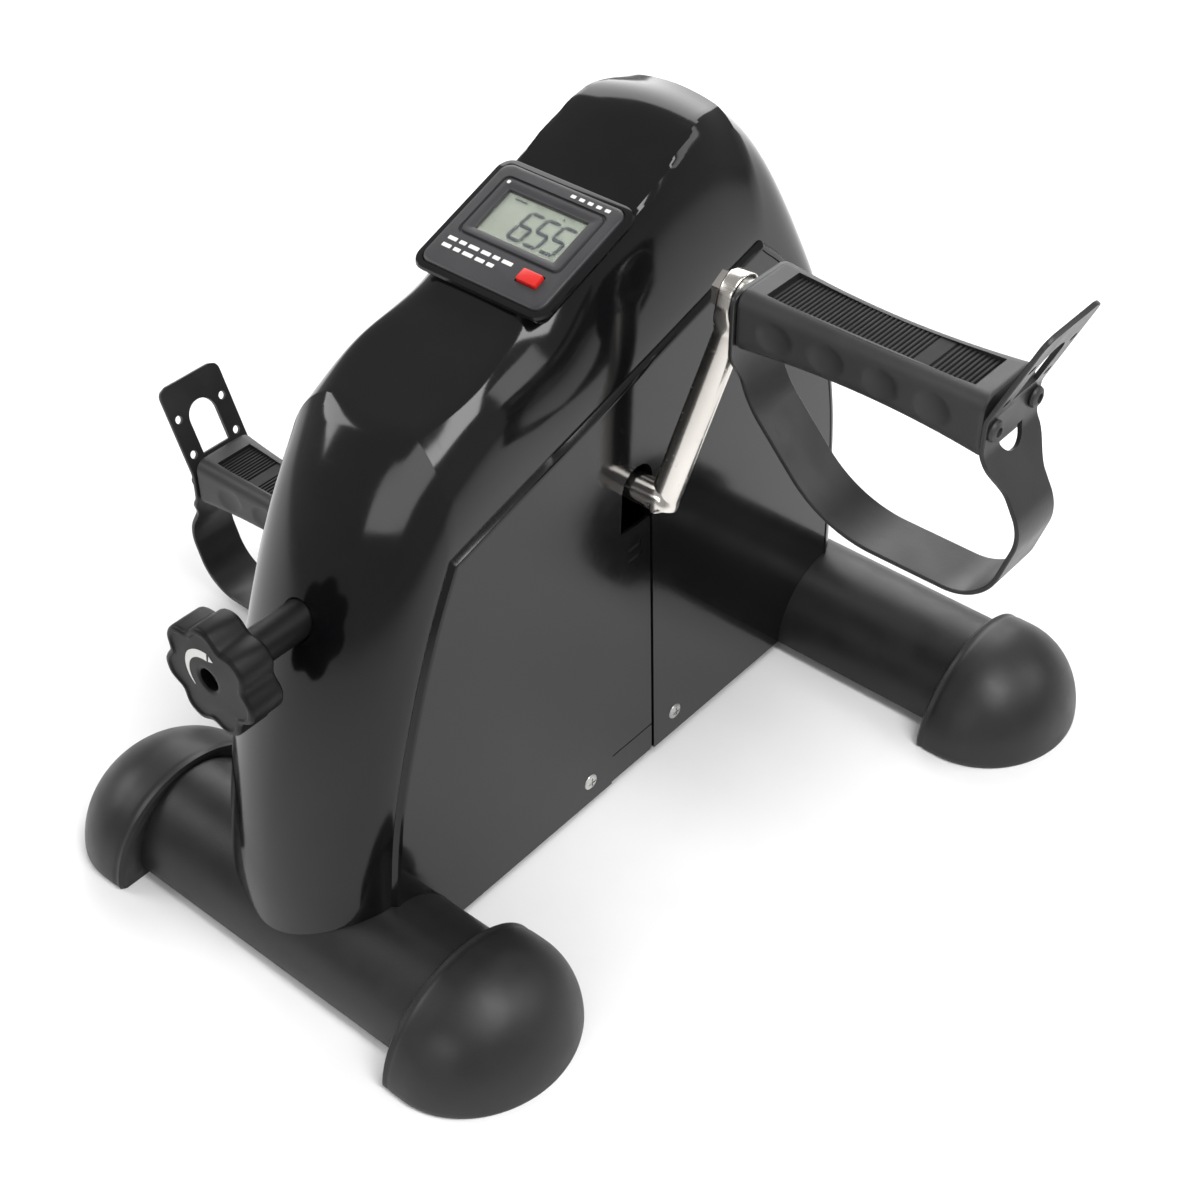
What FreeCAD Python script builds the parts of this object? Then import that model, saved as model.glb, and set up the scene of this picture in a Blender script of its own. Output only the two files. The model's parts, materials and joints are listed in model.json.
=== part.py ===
import FreeCAD, Part
import math
import os

# Pedal exerciser: a small floor-standing leg trainer.
# Frame: +X to the user's right pedal, +Y away from the tension knob, +Z up.
# The floor is z = 0 and the two beams lie either side of y = 0. Millimetres.

# ---------------------------------------------------------------- base
beam_offset = 153.6          # beam axis from the middle of the machine, in Y
beam_half_width = 34.0
beam_height = 35.5
beam_clearance = 6.0         # underside of a beam above the floor
beam_wall = 1.5
front_rim_x = 81.4           # where the front end caps start
rear_rim_x = 137.9           # where the rear end caps start
cap_half_width = 47.2
cap_height = 44.0
cap_skirt = 12.0             # straight part of a cap, before its dome
cap_dome = 40.8
cap_socket = 13.0            # how far a beam reaches into its cap
cap_sole_trim = 0.3          # ground off the dome's underside so that it stands flat
cap_fit = 0.1
rail_half_width = 15.0
rail_height = 20.0
rail_bottom = 8.0
rail_wall = 1.5

# ---------------------------------------------------------------- crank
crank_y = 4.0
crank_z = 172.0
crank_radius = 96.0          # crank axis to pedal axle
crank_lean = 16.5            # right arm, degrees back from upright
rod_radius = 6.5
arm_x = 74.0
elbow_radius = 14.0
eye_thickness = 8.0
eye_radius = 10.0
eye_neck = 12.0              # the flattened length between rod and eye centre
running_fit = 0.05

# ---------------------------------------------------------------- bearings and uprights
upright_thickness = 4.0
upright_foot_half = 48.0
block_inner_x = 13.0
block_width = 14.0
block_half_length = 20.0
block_height = 18.0
bush_wall = 3.0
bush_flange = 2.5
bush_flange_width = 1.5
bearing_bolt_radius = 2.5
bearing_bolt_offset = 14.5
bearing_bolt_head = 3.5

# ---------------------------------------------------------------- brake
drum_radius = 42.0
drum_half_width = 10.0
drum_hub_radius = 13.0
drum_web = 5.0
drum_rim = 6.0
set_screw_radius = 2.5
band_gap = 0.4
band_thickness = 2.5
band_half_width = 8.0
tension_travel = 5.0
yoke_y = -66.0               # front face of the yoke plate
yoke_thickness = 5.0
yoke_tab = 12.0
nut_half = 6.5
nut_thickness = 7.0
screw_radius = 4.0
knob_y = -194.0              # outer face of the knob
knob_thickness = 17.0
knob_radius = 25.0
knob_lobes = 7
knob_lobe_depth = 3.2
knob_scallop = 0.62          # hollow between two lobes, as a share of half their distance
knob_stem_radius = 8.0
knob_recess_radius = 5.0
knob_recess_depth = 5.0
stem_clearance = 0.6
post_half_width = 10.0
post_depth = 12.0
post_wall = 2.0
post_y = -122.0
guide_flange = 12.0
guide_flange_width = 2.0
collar_radius = 7.5
collar_width = 5.0

# ---------------------------------------------------------------- housing
half_width = 47.0
shell = 2.8
housing_bottom = 6.0
side_gap = 0.3               # housing to beam
front_roundness = 1.85       # squareness of the cross-section at the feet
top_roundness = 4.0          # and over the top
top_lean = 0.72              # width of the top's flat as a share of the whole
top_start = 0.28             # where along the arch the top begins and ends
top_end = 0.84
top_blend = 0.14
rear_blend = 1.6             # the rear blend's length, as a share of the front one's
flank_inset = 0.5            # share of the wall's thickness taken off the flank line
# middle line of the housing, front foot over the top to the rear foot, (y, z)
crown = [(-184, 6), (-182, 50), (-171, 105), (-150, 168), (-126, 216), (-100, 249), (-72, 263),
         (-42, 268), (-12, 278.5), (16, 289.5), (38, 303), (61, 317), (82, 313), (102, 291),
         (123, 255), (145, 208), (163, 150), (176, 84), (180, 6)]
# where the side walls start, same stations
flank = [(-146, 6), (-145, 40), (-141, 84), (-127, 140), (-110, 178), (-90, 200), (-66, 212),
         (-40, 218), (-12, 226), (14, 232), (36, 238), (58, 242), (78, 240), (96, 230),
         (114, 206), (130, 170), (142, 120), (150, 70), (152, 6)]
crank_hole_radius = 10.0
slot_half_top = 10.0
slot_half_bottom = 16.0
slot_fit = 0.3
slot_cover_lip = 3.0
slot_cover_top = 150.0       # upper end of the slot cover
side_screw_offset = 31.0
side_screw_z = 19.0
side_screw_radius = 2.0
side_screw_head_radius = 4.2
side_screw_head = 2.2
side_screw_length = 10.0
bracket_thickness = 3.0
bracket_half_length = 38.0

# ---------------------------------------------------------------- meter
meter_y = -12.4
meter_z = 282.4
meter_tilt = 20.5
meter_half_width = 32.0
meter_half_length = 28.5
meter_flange = 4.0
meter_corner = 5.0
meter_body_inset = 3.0
meter_depth = 15.0
meter_wall = 2.0
meter_fit = 0.3
seat_rim = 3.0
bezel_half_width = 25.5
bezel_low = -9.5
bezel_high = 21.5
bezel_recess = 1.2
lcd_half_width = 20.5
lcd_low = -5.5
lcd_high = 16.5
window_thickness = 1.0
lcd_thickness = 2.0
board_thickness = 1.6
button_x = 18.0
button_y = -17.0
button_half_width = 5.0
button_half_length = 3.0
button_proud = 1.6
button_travel = 1.0
button_fit = 0.25
battery_radius = 5.7
battery_thickness = 5.4
door_thickness = 1.2

# ---------------------------------------------------------------- speed sensor
magnet_radius = 4.0
magnet_thickness = 3.0
magnet_offset = 30.0         # magnet centre from the crank axis
sensor_size = (3.6, 8.0, 14.0)
lead_radius = 1.2
lead_bend = 14.0

# ---------------------------------------------------------------- pedals
pedal_start = 86.0
pedal_length = 111.0
pedal_end_half_width = 18.0
pedal_mid_half_width = 15.5
pedal_end_half_height = 13.5
pedal_mid_half_height = 11.5
pedal_corner = 6.0
axle_radius = 5.0
axle_head_radius = 8.0
axle_head = 4.0
pedal_bush_wall = 2.0
pedal_bush_length = 16.0
axle_nut_half = 6.5
axle_nut_thickness = 6.0
nut_pocket_radius = 9.0
nut_pocket_depth = 11.0
washer_thickness = 1.2
tread_half_width = 10.5
tread_margin = 9.0
tread_floor = 8.6
tread_thickness = 2.7
tread_fit = 0.1
tread_rib_pitch = 3.0
tread_rib_height = 0.7

# ---------------------------------------------------------------- straps
strap_thickness = 2.0
strap_half_width = 13.0
strap_pad_half_width = 19.0
strap_gap = 0.2
strap_depth = {"right": 82.0, "left": 75.0}   # the left loop is stopped by the floor
strap_top = 12.0             # inner end above the axle
strap_drop = 32.0            # where the inner side starts to turn outward
strap_turn_x = 130.0
strap_belly = 18.0           # how far the loop swells past the pedal's end
strap_belly_z = 42.0
strap_shoulder = 20.0        # the loop is narrow below this, the ends are wide
strap_free_rise = 42.0
strap_free_reach = 18.5
strap_radii = [45, 55, 24, 20, 8, 8]     # bends from the inner side to the free end
stud_offset = 14.0
stud_radius = 2.4
stud_head_radius = 4.4
stud_head = 2.5
stud_depth = 8.0

PARTS = "parts"
os.makedirs(PARTS, exist_ok=True)


def vec(x, y, z):
    return FreeCAD.Vector(x, y, z)


def save(name, *solids):
    """Write one node: one solid, or a group of identical separate ones."""
    shape = solids[0] if len(solids) == 1 else Part.makeCompound(list(solids))
    shape.exportStep(os.path.join(PARTS, name + ".step"))


def largest(shape):
    """The largest solid of a boolean result."""
    return max(shape.Solids, key=lambda s: s.Volume)


def only_solid(shape):
    """The largest solid of a boolean result, with its needless edges removed."""
    return largest(shape).removeSplitter()


def box(x0, x1, y0, y1, z0, z1):
    return Part.makeBox(x1 - x0, y1 - y0, z1 - z0, vec(x0, y0, z0))


def rod(radius, start, end):
    direction = end - start
    return Part.makeCylinder(radius, direction.Length, start, direction)


def rod_x(radius, x0, x1, y, z):
    return rod(radius, vec(x0, y, z), vec(x1, y, z))


def tube_x(outer, inner, x0, x1, y, z):
    return rod_x(outer, x0, x1, y, z).cut(rod_x(inner, x0, x1, y, z))


def prism_x(points, x0, x1):
    """A polygon given in (y, z), extruded along X."""
    corners = [vec(x0, y, z) for y, z in points]
    wire = Part.makePolygon(corners + corners[:1])
    return Part.Face(wire).extrude(vec(x1 - x0, 0, 0))


def hexagon(half_flats, thickness, start, direction):
    """A hexagonal prism such as a nut, standing on start."""
    radius = half_flats / math.cos(math.pi / 6)
    corners = [vec(radius * math.cos(k * math.pi / 3), radius * math.sin(k * math.pi / 3), 0)
               for k in range(7)]
    solid = Part.Face(Part.makePolygon(corners)).extrude(vec(0, 0, thickness))
    solid.Placement = FreeCAD.Placement(start, FreeCAD.Rotation(vec(0, 0, 1), direction))
    return solid


def mirrored(shape):
    """The same piece on the other side of the machine."""
    return shape.mirror(vec(0, 0, 0), vec(1, 0, 0))


def half_oval(x0, x1, y, bottom, width, height):
    """A bar along X with a flat underside and a half-oval top."""
    # the oval's long axis is upright when the bar is taller than half its width
    centre = vec(x0, y, bottom)
    side, top = vec(x0, y + width, bottom), vec(x0, y, bottom + height)
    if height >= width:
        oval = Part.Ellipse(top, side, centre)
    else:
        oval = Part.Ellipse(side, top, centre)
    whole = Part.Face(Part.Wire(oval.toShape())).extrude(vec(x1 - x0, 0, 0))
    reach = 2 * (width + height)
    return whole.common(box(x0 - 1, x1 + 1, y - reach, y + reach, bottom, bottom + reach))


def rounded_path(points, radii):
    """Straight runs joined by tangent arcs through the inner points."""
    edges = []
    start = points[0]
    for before, corner, after, radius in zip(points, points[1:], points[2:], radii):
        back = (before - corner).normalize()
        ahead = (after - corner).normalize()
        half = back.getAngle(ahead) / 2
        setback = radius / math.tan(half)
        middle = (back + ahead).normalize()
        centre = corner + middle * (radius / math.sin(half))
        first = corner + back * setback
        last = corner + ahead * setback
        edges.append(Part.makeLine(start, first))
        edges.append(Part.Arc(first, centre - middle * radius, last).toShape())
        start = last
    edges.append(Part.makeLine(start, points[-1]))
    return Part.Wire(edges)


# ================================================================ base
def beam_shape(y, half_length, grow=0.0):
    return half_oval(-half_length, half_length, y, beam_clearance - grow,
                     beam_half_width + grow, beam_height + 2 * grow)


def make_beam(y, rim_x):
    """A half-oval steel tube that reaches into both of its caps."""
    half_length = rim_x + cap_socket
    outer = beam_shape(y, half_length)
    inner = half_oval(-half_length - 1, half_length + 1, y, beam_clearance + beam_wall,
                      beam_half_width - beam_wall, beam_height - 2 * beam_wall)
    return only_solid(outer.cut(inner))


def make_cap(y, rim_x):
    """A foot: a short straight skirt and a dome, with a flat sole and a socket for the beam."""
    # half a turn of the profile at unit size, then stretched to the cap's three sizes
    skirt = cap_skirt / cap_dome
    arc = Part.Arc(vec(skirt, 1, 0), vec(skirt + math.cos(math.pi / 4), math.sin(math.pi / 4), 0),
                   vec(skirt + 1, 0, 0)).toShape()
    outline = Part.Wire([Part.makeLine(vec(0, 0, 0), vec(0, 1, 0)),
                         Part.makeLine(vec(0, 1, 0), vec(skirt, 1, 0)), arc,
                         Part.makeLine(vec(skirt + 1, 0, 0), vec(0, 0, 0))])
    unit = Part.Face(outline).revolve(vec(0, 0, 0), vec(1, 0, 0), 180)
    stretch = FreeCAD.Matrix()
    stretch.scale(cap_dome, cap_half_width, cap_height + cap_sole_trim)
    cap = unit.transformGeometry(stretch)
    cap.translate(vec(rim_x, y, -cap_sole_trim))
    reach = 2 * cap_half_width
    cap = cap.cut(box(rim_x - reach, rim_x + reach, y - reach, y + reach, -reach, 0))
    socket = half_oval(rim_x - 1, rim_x + cap_socket + cap_fit, y, beam_clearance - cap_fit,
                       beam_half_width + cap_fit, beam_height + 2 * cap_fit)
    return largest(cap.cut(socket))


front_beam = make_beam(-beam_offset, front_rim_x)
rear_beam = make_beam(beam_offset, rear_rim_x)
save("front_beam", front_beam)
save("rear_beam", rear_beam)
for end, y, rim_x in (("front", -beam_offset, front_rim_x), ("rear", beam_offset, rear_rim_x)):
    cap = make_cap(y, rim_x)
    save(end + "_right_cap", cap)
    save(end + "_left_cap", mirrored(cap))

front_envelope = beam_shape(-beam_offset, front_rim_x)
rear_envelope = beam_shape(beam_offset, rear_rim_x)
rail_top = rail_bottom + rail_height
rail = box(-rail_half_width, rail_half_width, -beam_offset, beam_offset, rail_bottom, rail_top)
rail = rail.cut(box(-rail_half_width + rail_wall, rail_half_width - rail_wall, -beam_offset, beam_offset,
                    rail_bottom + rail_wall, rail_top - rail_wall))
save("centre_rail", only_solid(rail.cut(front_envelope).cut(rear_envelope)))

# ================================================================ uprights and bearings
upright_outer = rail_half_width + upright_thickness
block_bottom = crank_z - block_height
upright_points = [(crank_y - upright_foot_half, rail_bottom), (crank_y + upright_foot_half, rail_bottom),
                  (crank_y + upright_foot_half, rail_top), (crank_y + block_half_length, block_bottom),
                  (crank_y - block_half_length, block_bottom), (crank_y - upright_foot_half, rail_top)]
right_upright = prism_x(upright_points, rail_half_width, upright_outer)
save("right_upright", right_upright)
save("left_upright", mirrored(right_upright))

bush_inner = rod_radius + running_fit
bush_outer = rod_radius + bush_wall
block_x = (block_inner_x, block_inner_x + block_width)
bolt_x = block_inner_x + block_width / 2
bolt_top = crank_z + block_height
bolt_places = [(bolt_x, crank_y + side * bearing_bolt_offset) for side in (-1, 1)]
bolt_holes = [rod(bearing_bolt_radius, vec(x, y, block_bottom + block_height / 3), vec(x, y, bolt_top + 1))
              for x, y in bolt_places]
bush_room = rod_x(bush_outer, block_x[0] - 1, block_x[1] + 1, crank_y, crank_z)


def bearing_half(bottom, top):
    """One half of the split bearing block, bored for the bush and its two bolts."""
    half = box(block_x[0], block_x[1], crank_y - block_half_length, crank_y + block_half_length, bottom, top)
    half = half.cut(bush_room)
    for hole in bolt_holes:
        half = half.cut(hole)
    return only_solid(half)


lower_block = bearing_half(block_bottom, crank_z)
upper_block = bearing_half(crank_z, bolt_top)
bush = tube_x(bush_outer, bush_inner, block_x[0], block_x[1], crank_y, crank_z)
for x0, x1 in ((block_x[0] - bush_flange_width, block_x[0]), (block_x[1], block_x[1] + bush_flange_width)):
    bush = bush.fuse(tube_x(bush_outer + bush_flange, bush_inner, x0, x1, crank_y, crank_z))
bush = only_solid(bush)
bearing_bolts = []
for x, y in bolt_places:
    shank = rod(bearing_bolt_radius, vec(x, y, block_bottom + block_height / 3), vec(x, y, bolt_top))
    head = hexagon(2 * bearing_bolt_radius - 1, bearing_bolt_head, vec(x, y, bolt_top), vec(0, 0, 1))
    bearing_bolts.append(only_solid(shank.fuse(head)))
save("right_bearing_block", lower_block)
save("left_bearing_block", mirrored(lower_block))
save("right_bearing_cap", upper_block)
save("left_bearing_cap", mirrored(upper_block))
save("right_bearing_bush", bush)
save("left_bearing_bush", mirrored(bush))
save("bearing_bolts", *(bearing_bolts + [mirrored(bolt) for bolt in bearing_bolts]))

# ================================================================ crank
lean = math.radians(crank_lean)
arm = vec(0, math.sin(lean), math.cos(lean))
across = vec(1, 0, 0)
hub = vec(0, crank_y, crank_z)
right_eye = hub + across * arm_x + arm * crank_radius
left_eye = hub - across * arm_x - arm * crank_radius
rod_end = crank_radius - eye_neck
crank_path = rounded_path([hub - across * arm_x - arm * rod_end, hub - across * arm_x,
                           hub + across * arm_x, hub + across * arm_x + arm * rod_end],
                          [elbow_radius, elbow_radius])
start_circle = Part.Wire(Part.makeCircle(rod_radius, hub - across * arm_x - arm * rod_end, arm))
crank = crank_path.makePipeShell([start_circle], True, False)


def crank_eye(centre, outward):
    """The flattened, rounded end of an arm, bored for the pedal's axle."""
    half = eye_thickness / 2
    disc = rod(eye_radius, centre - across * half, centre + across * half)
    neck = Part.makeBox(eye_thickness, 2 * eye_radius, eye_neck + 2)
    neck.translate(vec(-half, -eye_radius, -eye_neck - 2))
    turn = FreeCAD.Rotation(vec(0, 0, 1), outward)
    neck.Placement = FreeCAD.Placement(centre, turn).multiply(neck.Placement)
    return disc.fuse(neck)


crank = crank.fuse(crank_eye(right_eye, arm)).fuse(crank_eye(left_eye, arm * -1))
eye_bore = eye_thickness / 2 + elbow_radius
for eye in (right_eye, left_eye):
    crank = crank.cut(rod(axle_radius, eye - across * eye_bore, eye + across * eye_bore))
save("crank", only_solid(crank))

# ================================================================ brake
drum = rod_x(drum_radius, -drum_half_width, drum_half_width, crank_y, crank_z)
for x0, x1 in ((-drum_half_width, -drum_web / 2), (drum_web / 2, drum_half_width)):
    drum = drum.cut(tube_x(drum_radius - drum_rim, drum_hub_radius, x0, x1, crank_y, crank_z))
drum = drum.cut(rod_x(rod_radius, -drum_half_width, drum_half_width, crank_y, crank_z))
screw_x = (drum_half_width + drum_web / 2) / 2
screw_hole = rod(set_screw_radius, vec(screw_x, crank_y, crank_z + rod_radius),
                 vec(screw_x, crank_y, crank_z + drum_hub_radius))
magnet_base = crank_z - magnet_offset
magnet = rod_x(magnet_radius, drum_web / 2, drum_web / 2 + magnet_thickness, crank_y, magnet_base)
save("brake_drum", only_solid(drum.cut(screw_hole)))
save("drum_set_screw", screw_hole)
save("sensor_magnet", magnet)

band_inner = drum_radius + band_gap
band_outer = band_inner + band_thickness
band_y = crank_y + tension_travel          # the slack band stands this far behind the drum
yoke_back = yoke_y + yoke_thickness
outer_loop = rod_x(band_outer, -band_half_width, band_half_width, band_y, crank_z)
outer_loop = outer_loop.fuse(box(-band_half_width, band_half_width, yoke_back, band_y,
                                 crank_z - band_outer, crank_z + band_outer))
inner_loop = rod_x(band_inner, -band_half_width, band_half_width, band_y, crank_z)
inner_loop = inner_loop.fuse(box(-band_half_width, band_half_width, yoke_back - 1, band_y,
                                 crank_z - band_inner, crank_z + band_inner))
save("brake_band", only_solid(outer_loop.cut(inner_loop)))
yoke = box(-band_half_width, band_half_width, yoke_y, yoke_back, crank_z - band_outer, crank_z + band_outer)
for side in (-1, 1):
    inside = sorted((side * band_inner, side * (band_inner - yoke_thickness / 2)))
    yoke = yoke.fuse(box(-band_half_width, band_half_width, yoke_back, yoke_back + yoke_tab,
                         crank_z + inside[0], crank_z + inside[1]))
yoke = yoke.cut(rod(screw_radius + running_fit, vec(0, yoke_y - 1, crank_z), vec(0, yoke_back + 1, crank_z)))
save("tension_yoke", only_solid(yoke))
rivet_y = yoke_back + yoke_tab / 2
rivets = []
for side in (-1, 1):
    rivets.append(rod(set_screw_radius, vec(0, rivet_y, crank_z + side * band_outer),
                      vec(0, rivet_y, crank_z + side * (band_outer + 1))))
save("band_rivets", *rivets)
nut = hexagon(nut_half, nut_thickness, vec(0, yoke_y, crank_z), vec(0, -1, 0))
nut = nut.cut(rod(screw_radius + running_fit, vec(0, yoke_y + 1, crank_z),
                  vec(0, yoke_y - nut_thickness - 1, crank_z)))
save("tension_nut", only_solid(nut))

# the upright post behind the front wall carries the screw's guide
post_y0, post_y1 = post_y, post_y + post_depth
post_top = crank_z + 2 * guide_flange
post = box(-post_half_width, post_half_width, post_y0, post_y1, rail_top, post_top)
post = post.cut(box(-post_half_width + post_wall, post_half_width - post_wall, post_y0 + post_wall,
                    post_y1 - post_wall, rail_top - 1, post_top + 1))
guide_outer = screw_radius + running_fit + bush_wall - 1
post = post.cut(rod(guide_outer, vec(0, post_y0 - 1, crank_z), vec(0, post_y1 + 1, crank_z)))
save("front_post", only_solid(post))
guide = rod(guide_outer, vec(0, post_y0, crank_z), vec(0, post_y1, crank_z))
guide = guide.fuse(rod(guide_flange, vec(0, post_y0 - guide_flange_width, crank_z),
                       vec(0, post_y0, crank_z)))
guide = guide.cut(rod(screw_radius + running_fit, vec(0, post_y0 - guide_flange_width - 1, crank_z),
                      vec(0, post_y1 + 1, crank_z)))
save("screw_guide", only_solid(guide))

screw_tip = yoke_back + tension_travel
knob_back = knob_y + knob_thickness
screw = rod(screw_radius, vec(0, knob_y + knob_recess_depth, crank_z), vec(0, screw_tip, crank_z))
save("tension_screw", screw)
collar_y = post_y1 + running_fit
collar = rod(collar_radius, vec(0, collar_y, crank_z), vec(0, collar_y + collar_width, crank_z))
save("screw_collar", collar.cut(screw))
stem_end = post_y0 - guide_flange_width - running_fit
knob = rod(knob_radius, vec(0, knob_y, crank_z), vec(0, knob_back, crank_z))
lobe_pitch = 2 * math.pi / knob_lobes
scallop_radius = knob_radius * math.sin(lobe_pitch / 2) * knob_scallop
scallop_centre = knob_radius - knob_lobe_depth + scallop_radius
for k in range(knob_lobes):
    angle = (k + 0.5) * lobe_pitch
    x, z = scallop_centre * math.sin(angle), crank_z + scallop_centre * math.cos(angle)
    knob = knob.cut(rod(scallop_radius, vec(x, knob_y - 1, z), vec(x, knob_back + 1, z)))
knob = knob.fuse(rod(knob_stem_radius, vec(0, knob_back, crank_z), vec(0, stem_end, crank_z)))
knob = knob.cut(rod(knob_recess_radius, vec(0, knob_y - 1, crank_z),
                    vec(0, knob_y + knob_recess_depth, crank_z)))
save("tension_knob", only_solid(knob.cut(screw)))
stem_hole = rod(knob_stem_radius + stem_clearance, vec(0, knob_back, crank_z), vec(0, stem_end, crank_z))


# ================================================================ housing
def spline(points, count):
    """Evenly spaced points along a smooth curve through the given (y, z) stations."""
    curve = Part.BSplineCurve()
    curve.interpolate([vec(0, y, z) for y, z in points])
    first, last = curve.FirstParameter, curve.LastParameter
    return [curve.value(first + (last - first) * k / (count - 1)) for k in range(count)]


def ease(share):
    """Smooth step from 0 to 1."""
    share = min(max(share, 0.0), 1.0)
    return share * share * (3 - 2 * share)


def top_weight(share):
    """1 over the meter and the head, 0 at the two feet of the arch."""
    return ease((share - top_start) / top_blend) * ease((top_end - share) / (rear_blend * top_blend))


def housing_body(inset):
    """The closed outer form, moved inward by inset."""
    stations, columns = 37, 25
    middle = spline(crown, stations)
    edge = spline(flank, stations)
    reach = half_width - inset
    foot = housing_bottom if inset == 0 else housing_bottom - shell
    grid = []
    for k in range(stations):
        before, after = middle[max(k - 1, 0)], middle[min(k + 1, stations - 1)]
        run = (after - before).normalize()
        inward = vec(0, run.z, -run.y)
        top = middle[k] + inward * inset
        side = edge[k] + inward * (inset * flank_inset)
        if k in (0, stations - 1):
            top.z = foot
            side.z = foot
        weight = top_weight(k / (stations - 1))
        power = front_roundness + (top_roundness - front_roundness) * weight
        lean = 1 - (1 - top_lean) * weight
        row = []
        for j in range(columns):
            turn = math.pi * (j / (columns - 1) - 0.5)
            share = abs(math.sin(turn)) ** (2 / power)
            drop = 1 - abs(math.cos(turn)) ** (2 / power)
            share *= lean + (1 - lean) * drop
            row.append(vec(math.copysign(reach * share, turn), top.y + (side.y - top.y) * drop,
                           top.z + (side.z - top.z) * drop))
        grid.append(row)
    surface = Part.BSplineSurface()
    surface.interpolate(grid)
    band = surface.toShape()
    faces = [band]
    walls = {-1: None, 1: None}
    ends = []
    for border in band.Edges:
        centre = border.BoundBox
        if centre.XLength < 0.01:
            walls[1 if centre.Center.x > 0 else -1] = border
        else:
            ends.append(border)
    joins = []
    for border in walls.values():
        a, b = border.Vertexes[0].Point, border.Vertexes[-1].Point
        line = Part.makeLine(a, b)
        joins.append(line)
        faces.append(Part.Face(Part.Wire([border, line])))
    faces.append(Part.Face(Part.Wire(Part.sortEdges(ends + joins)[0])))
    solid = Part.Solid(Part.Shell(faces))
    return solid if solid.Volume > 0 else solid.reversed()


outer_body = housing_body(0.0)
inner_body = housing_body(shell)
housing = outer_body.cut(inner_body)
for y in (-beam_offset, beam_offset):
    reach = beam_half_width + side_gap
    below = box(-2 * half_width, 2 * half_width, y - reach, y + reach, -beam_clearance, beam_clearance)
    housing = housing.cut(beam_shape(y, 2 * half_width, side_gap).fuse(below))

slot_points = [(crank_y - slot_half_top, crank_z), (crank_y - slot_half_bottom, 0),
               (crank_y + slot_half_bottom, 0), (crank_y + slot_half_top, crank_z)]
slot = prism_x(slot_points, -2 * half_width, 2 * half_width)
slot = slot.fuse(rod_x(crank_hole_radius, -2 * half_width, 2 * half_width, crank_y, crank_z))
housing = housing.cut(slot).cut(stem_hole)


def slot_half(z):
    return slot_half_bottom + (slot_half_top - slot_half_bottom) * z / crank_z


def tapered(margin, bottom, top, x0, x1):
    """A plate that follows the slot's taper, margin wider on each side."""
    low, high = slot_half(bottom) + margin, slot_half(top) + margin
    return prism_x([(crank_y - low, bottom), (crank_y + low, bottom),
                    (crank_y + high, top), (crank_y - high, top)], x0, x1)


wall_inside = half_width - shell
plate = tapered(-slot_fit, housing_bottom, slot_cover_top, wall_inside, half_width)
lip = tapered(slot_cover_lip, rail_top + 2 * bracket_thickness, slot_cover_top, wall_inside - shell / 2,
              wall_inside)
right_slot_cover = only_solid(plate.fuse(lip))
save("right_slot_cover", right_slot_cover)
save("left_slot_cover", mirrored(right_slot_cover))

# a steel angle from each upright carries the housing's side screws
bracket_reach = half_width - shell
bracket_ends = (crank_y - bracket_half_length, crank_y + bracket_half_length)
bracket = box(upright_outer, bracket_reach, *bracket_ends, rail_top, rail_top + bracket_thickness)
ear_bottom = side_screw_z - side_screw_head_radius
bracket = bracket.fuse(box(bracket_reach - bracket_thickness, bracket_reach, *bracket_ends,
                           ear_bottom, rail_top))

# screws through the housing's skirt into the angles
side_screws = []
screw_clear = []
for side in (-1, 1):
    for along in (-1, 1):
        y = crank_y + along * side_screw_offset
        face = side * half_width
        tip = side * (half_width - side_screw_length)
        shank = rod(side_screw_radius, vec(face, y, side_screw_z), vec(tip, y, side_screw_z))
        head = rod(side_screw_head_radius, vec(face, y, side_screw_z),
                   vec(face + side * side_screw_head, y, side_screw_z))
        screw_clear.append(shank)
        side_screws.append(only_solid(shank.fuse(head)))
for shank in screw_clear:
    housing = housing.cut(shank)
    bracket = bracket.cut(shank)
bracket = only_solid(bracket)
save("right_bracket", bracket)
save("left_bracket", mirrored(bracket))
save("housing_screws", *side_screws)

# ================================================================ meter
# built lying flat with its face at z = 0, then tilted into place
meter_place = FreeCAD.Placement(vec(0, meter_y, meter_z), FreeCAD.Rotation(vec(1, 0, 0), meter_tilt))


def tilted(shape):
    moved = shape.copy()
    moved.Placement = meter_place.multiply(moved.Placement)
    return moved


def rounded_plate(half_x, half_y, z0, z1, corner, centre_y=0.0):
    plate = box(-half_x, half_x, centre_y - half_y, centre_y + half_y, z0, z1)
    uprights = [e for e in plate.Edges if e.BoundBox.ZLength > 0.9 * (z1 - z0)]
    return plate.makeFillet(corner, uprights)


flange = rounded_plate(meter_half_width, meter_half_length, -meter_flange, 0, meter_corner)
body_half_x = meter_half_width - meter_body_inset
body_half_y = meter_half_length - meter_body_inset
case = flange.fuse(rounded_plate(body_half_x, body_half_y, -meter_depth, -meter_flange, meter_corner - 1))
hollow = rounded_plate(body_half_x - meter_wall, body_half_y - meter_wall, -meter_depth - 1,
                       -meter_flange + meter_wall, meter_corner - 2)
case = case.cut(hollow)
bezel_mid = (bezel_low + bezel_high) / 2
bezel_half = (bezel_high - bezel_low) / 2
bezel = rounded_plate(bezel_half_width, bezel_half, -bezel_recess, 0, 2.0, bezel_mid)
view = box(-lcd_half_width, lcd_half_width, lcd_low, lcd_high, -meter_flange, 0)
button_hole = box(button_x - button_half_width - button_fit, button_x + button_half_width + button_fit,
                  button_y - button_half_length - button_fit, button_y + button_half_length + button_fit,
                  -meter_flange, 0)
case = case.cut(bezel).cut(view).cut(button_hole)
save("meter_case", tilted(only_solid(case)))
window = rounded_plate(bezel_half_width - button_fit, bezel_half - button_fit, -bezel_recess,
                       -bezel_recess + window_thickness, 1.8, bezel_mid)
save("meter_window", tilted(window))
lcd_top = -meter_flange + meter_wall
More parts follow.
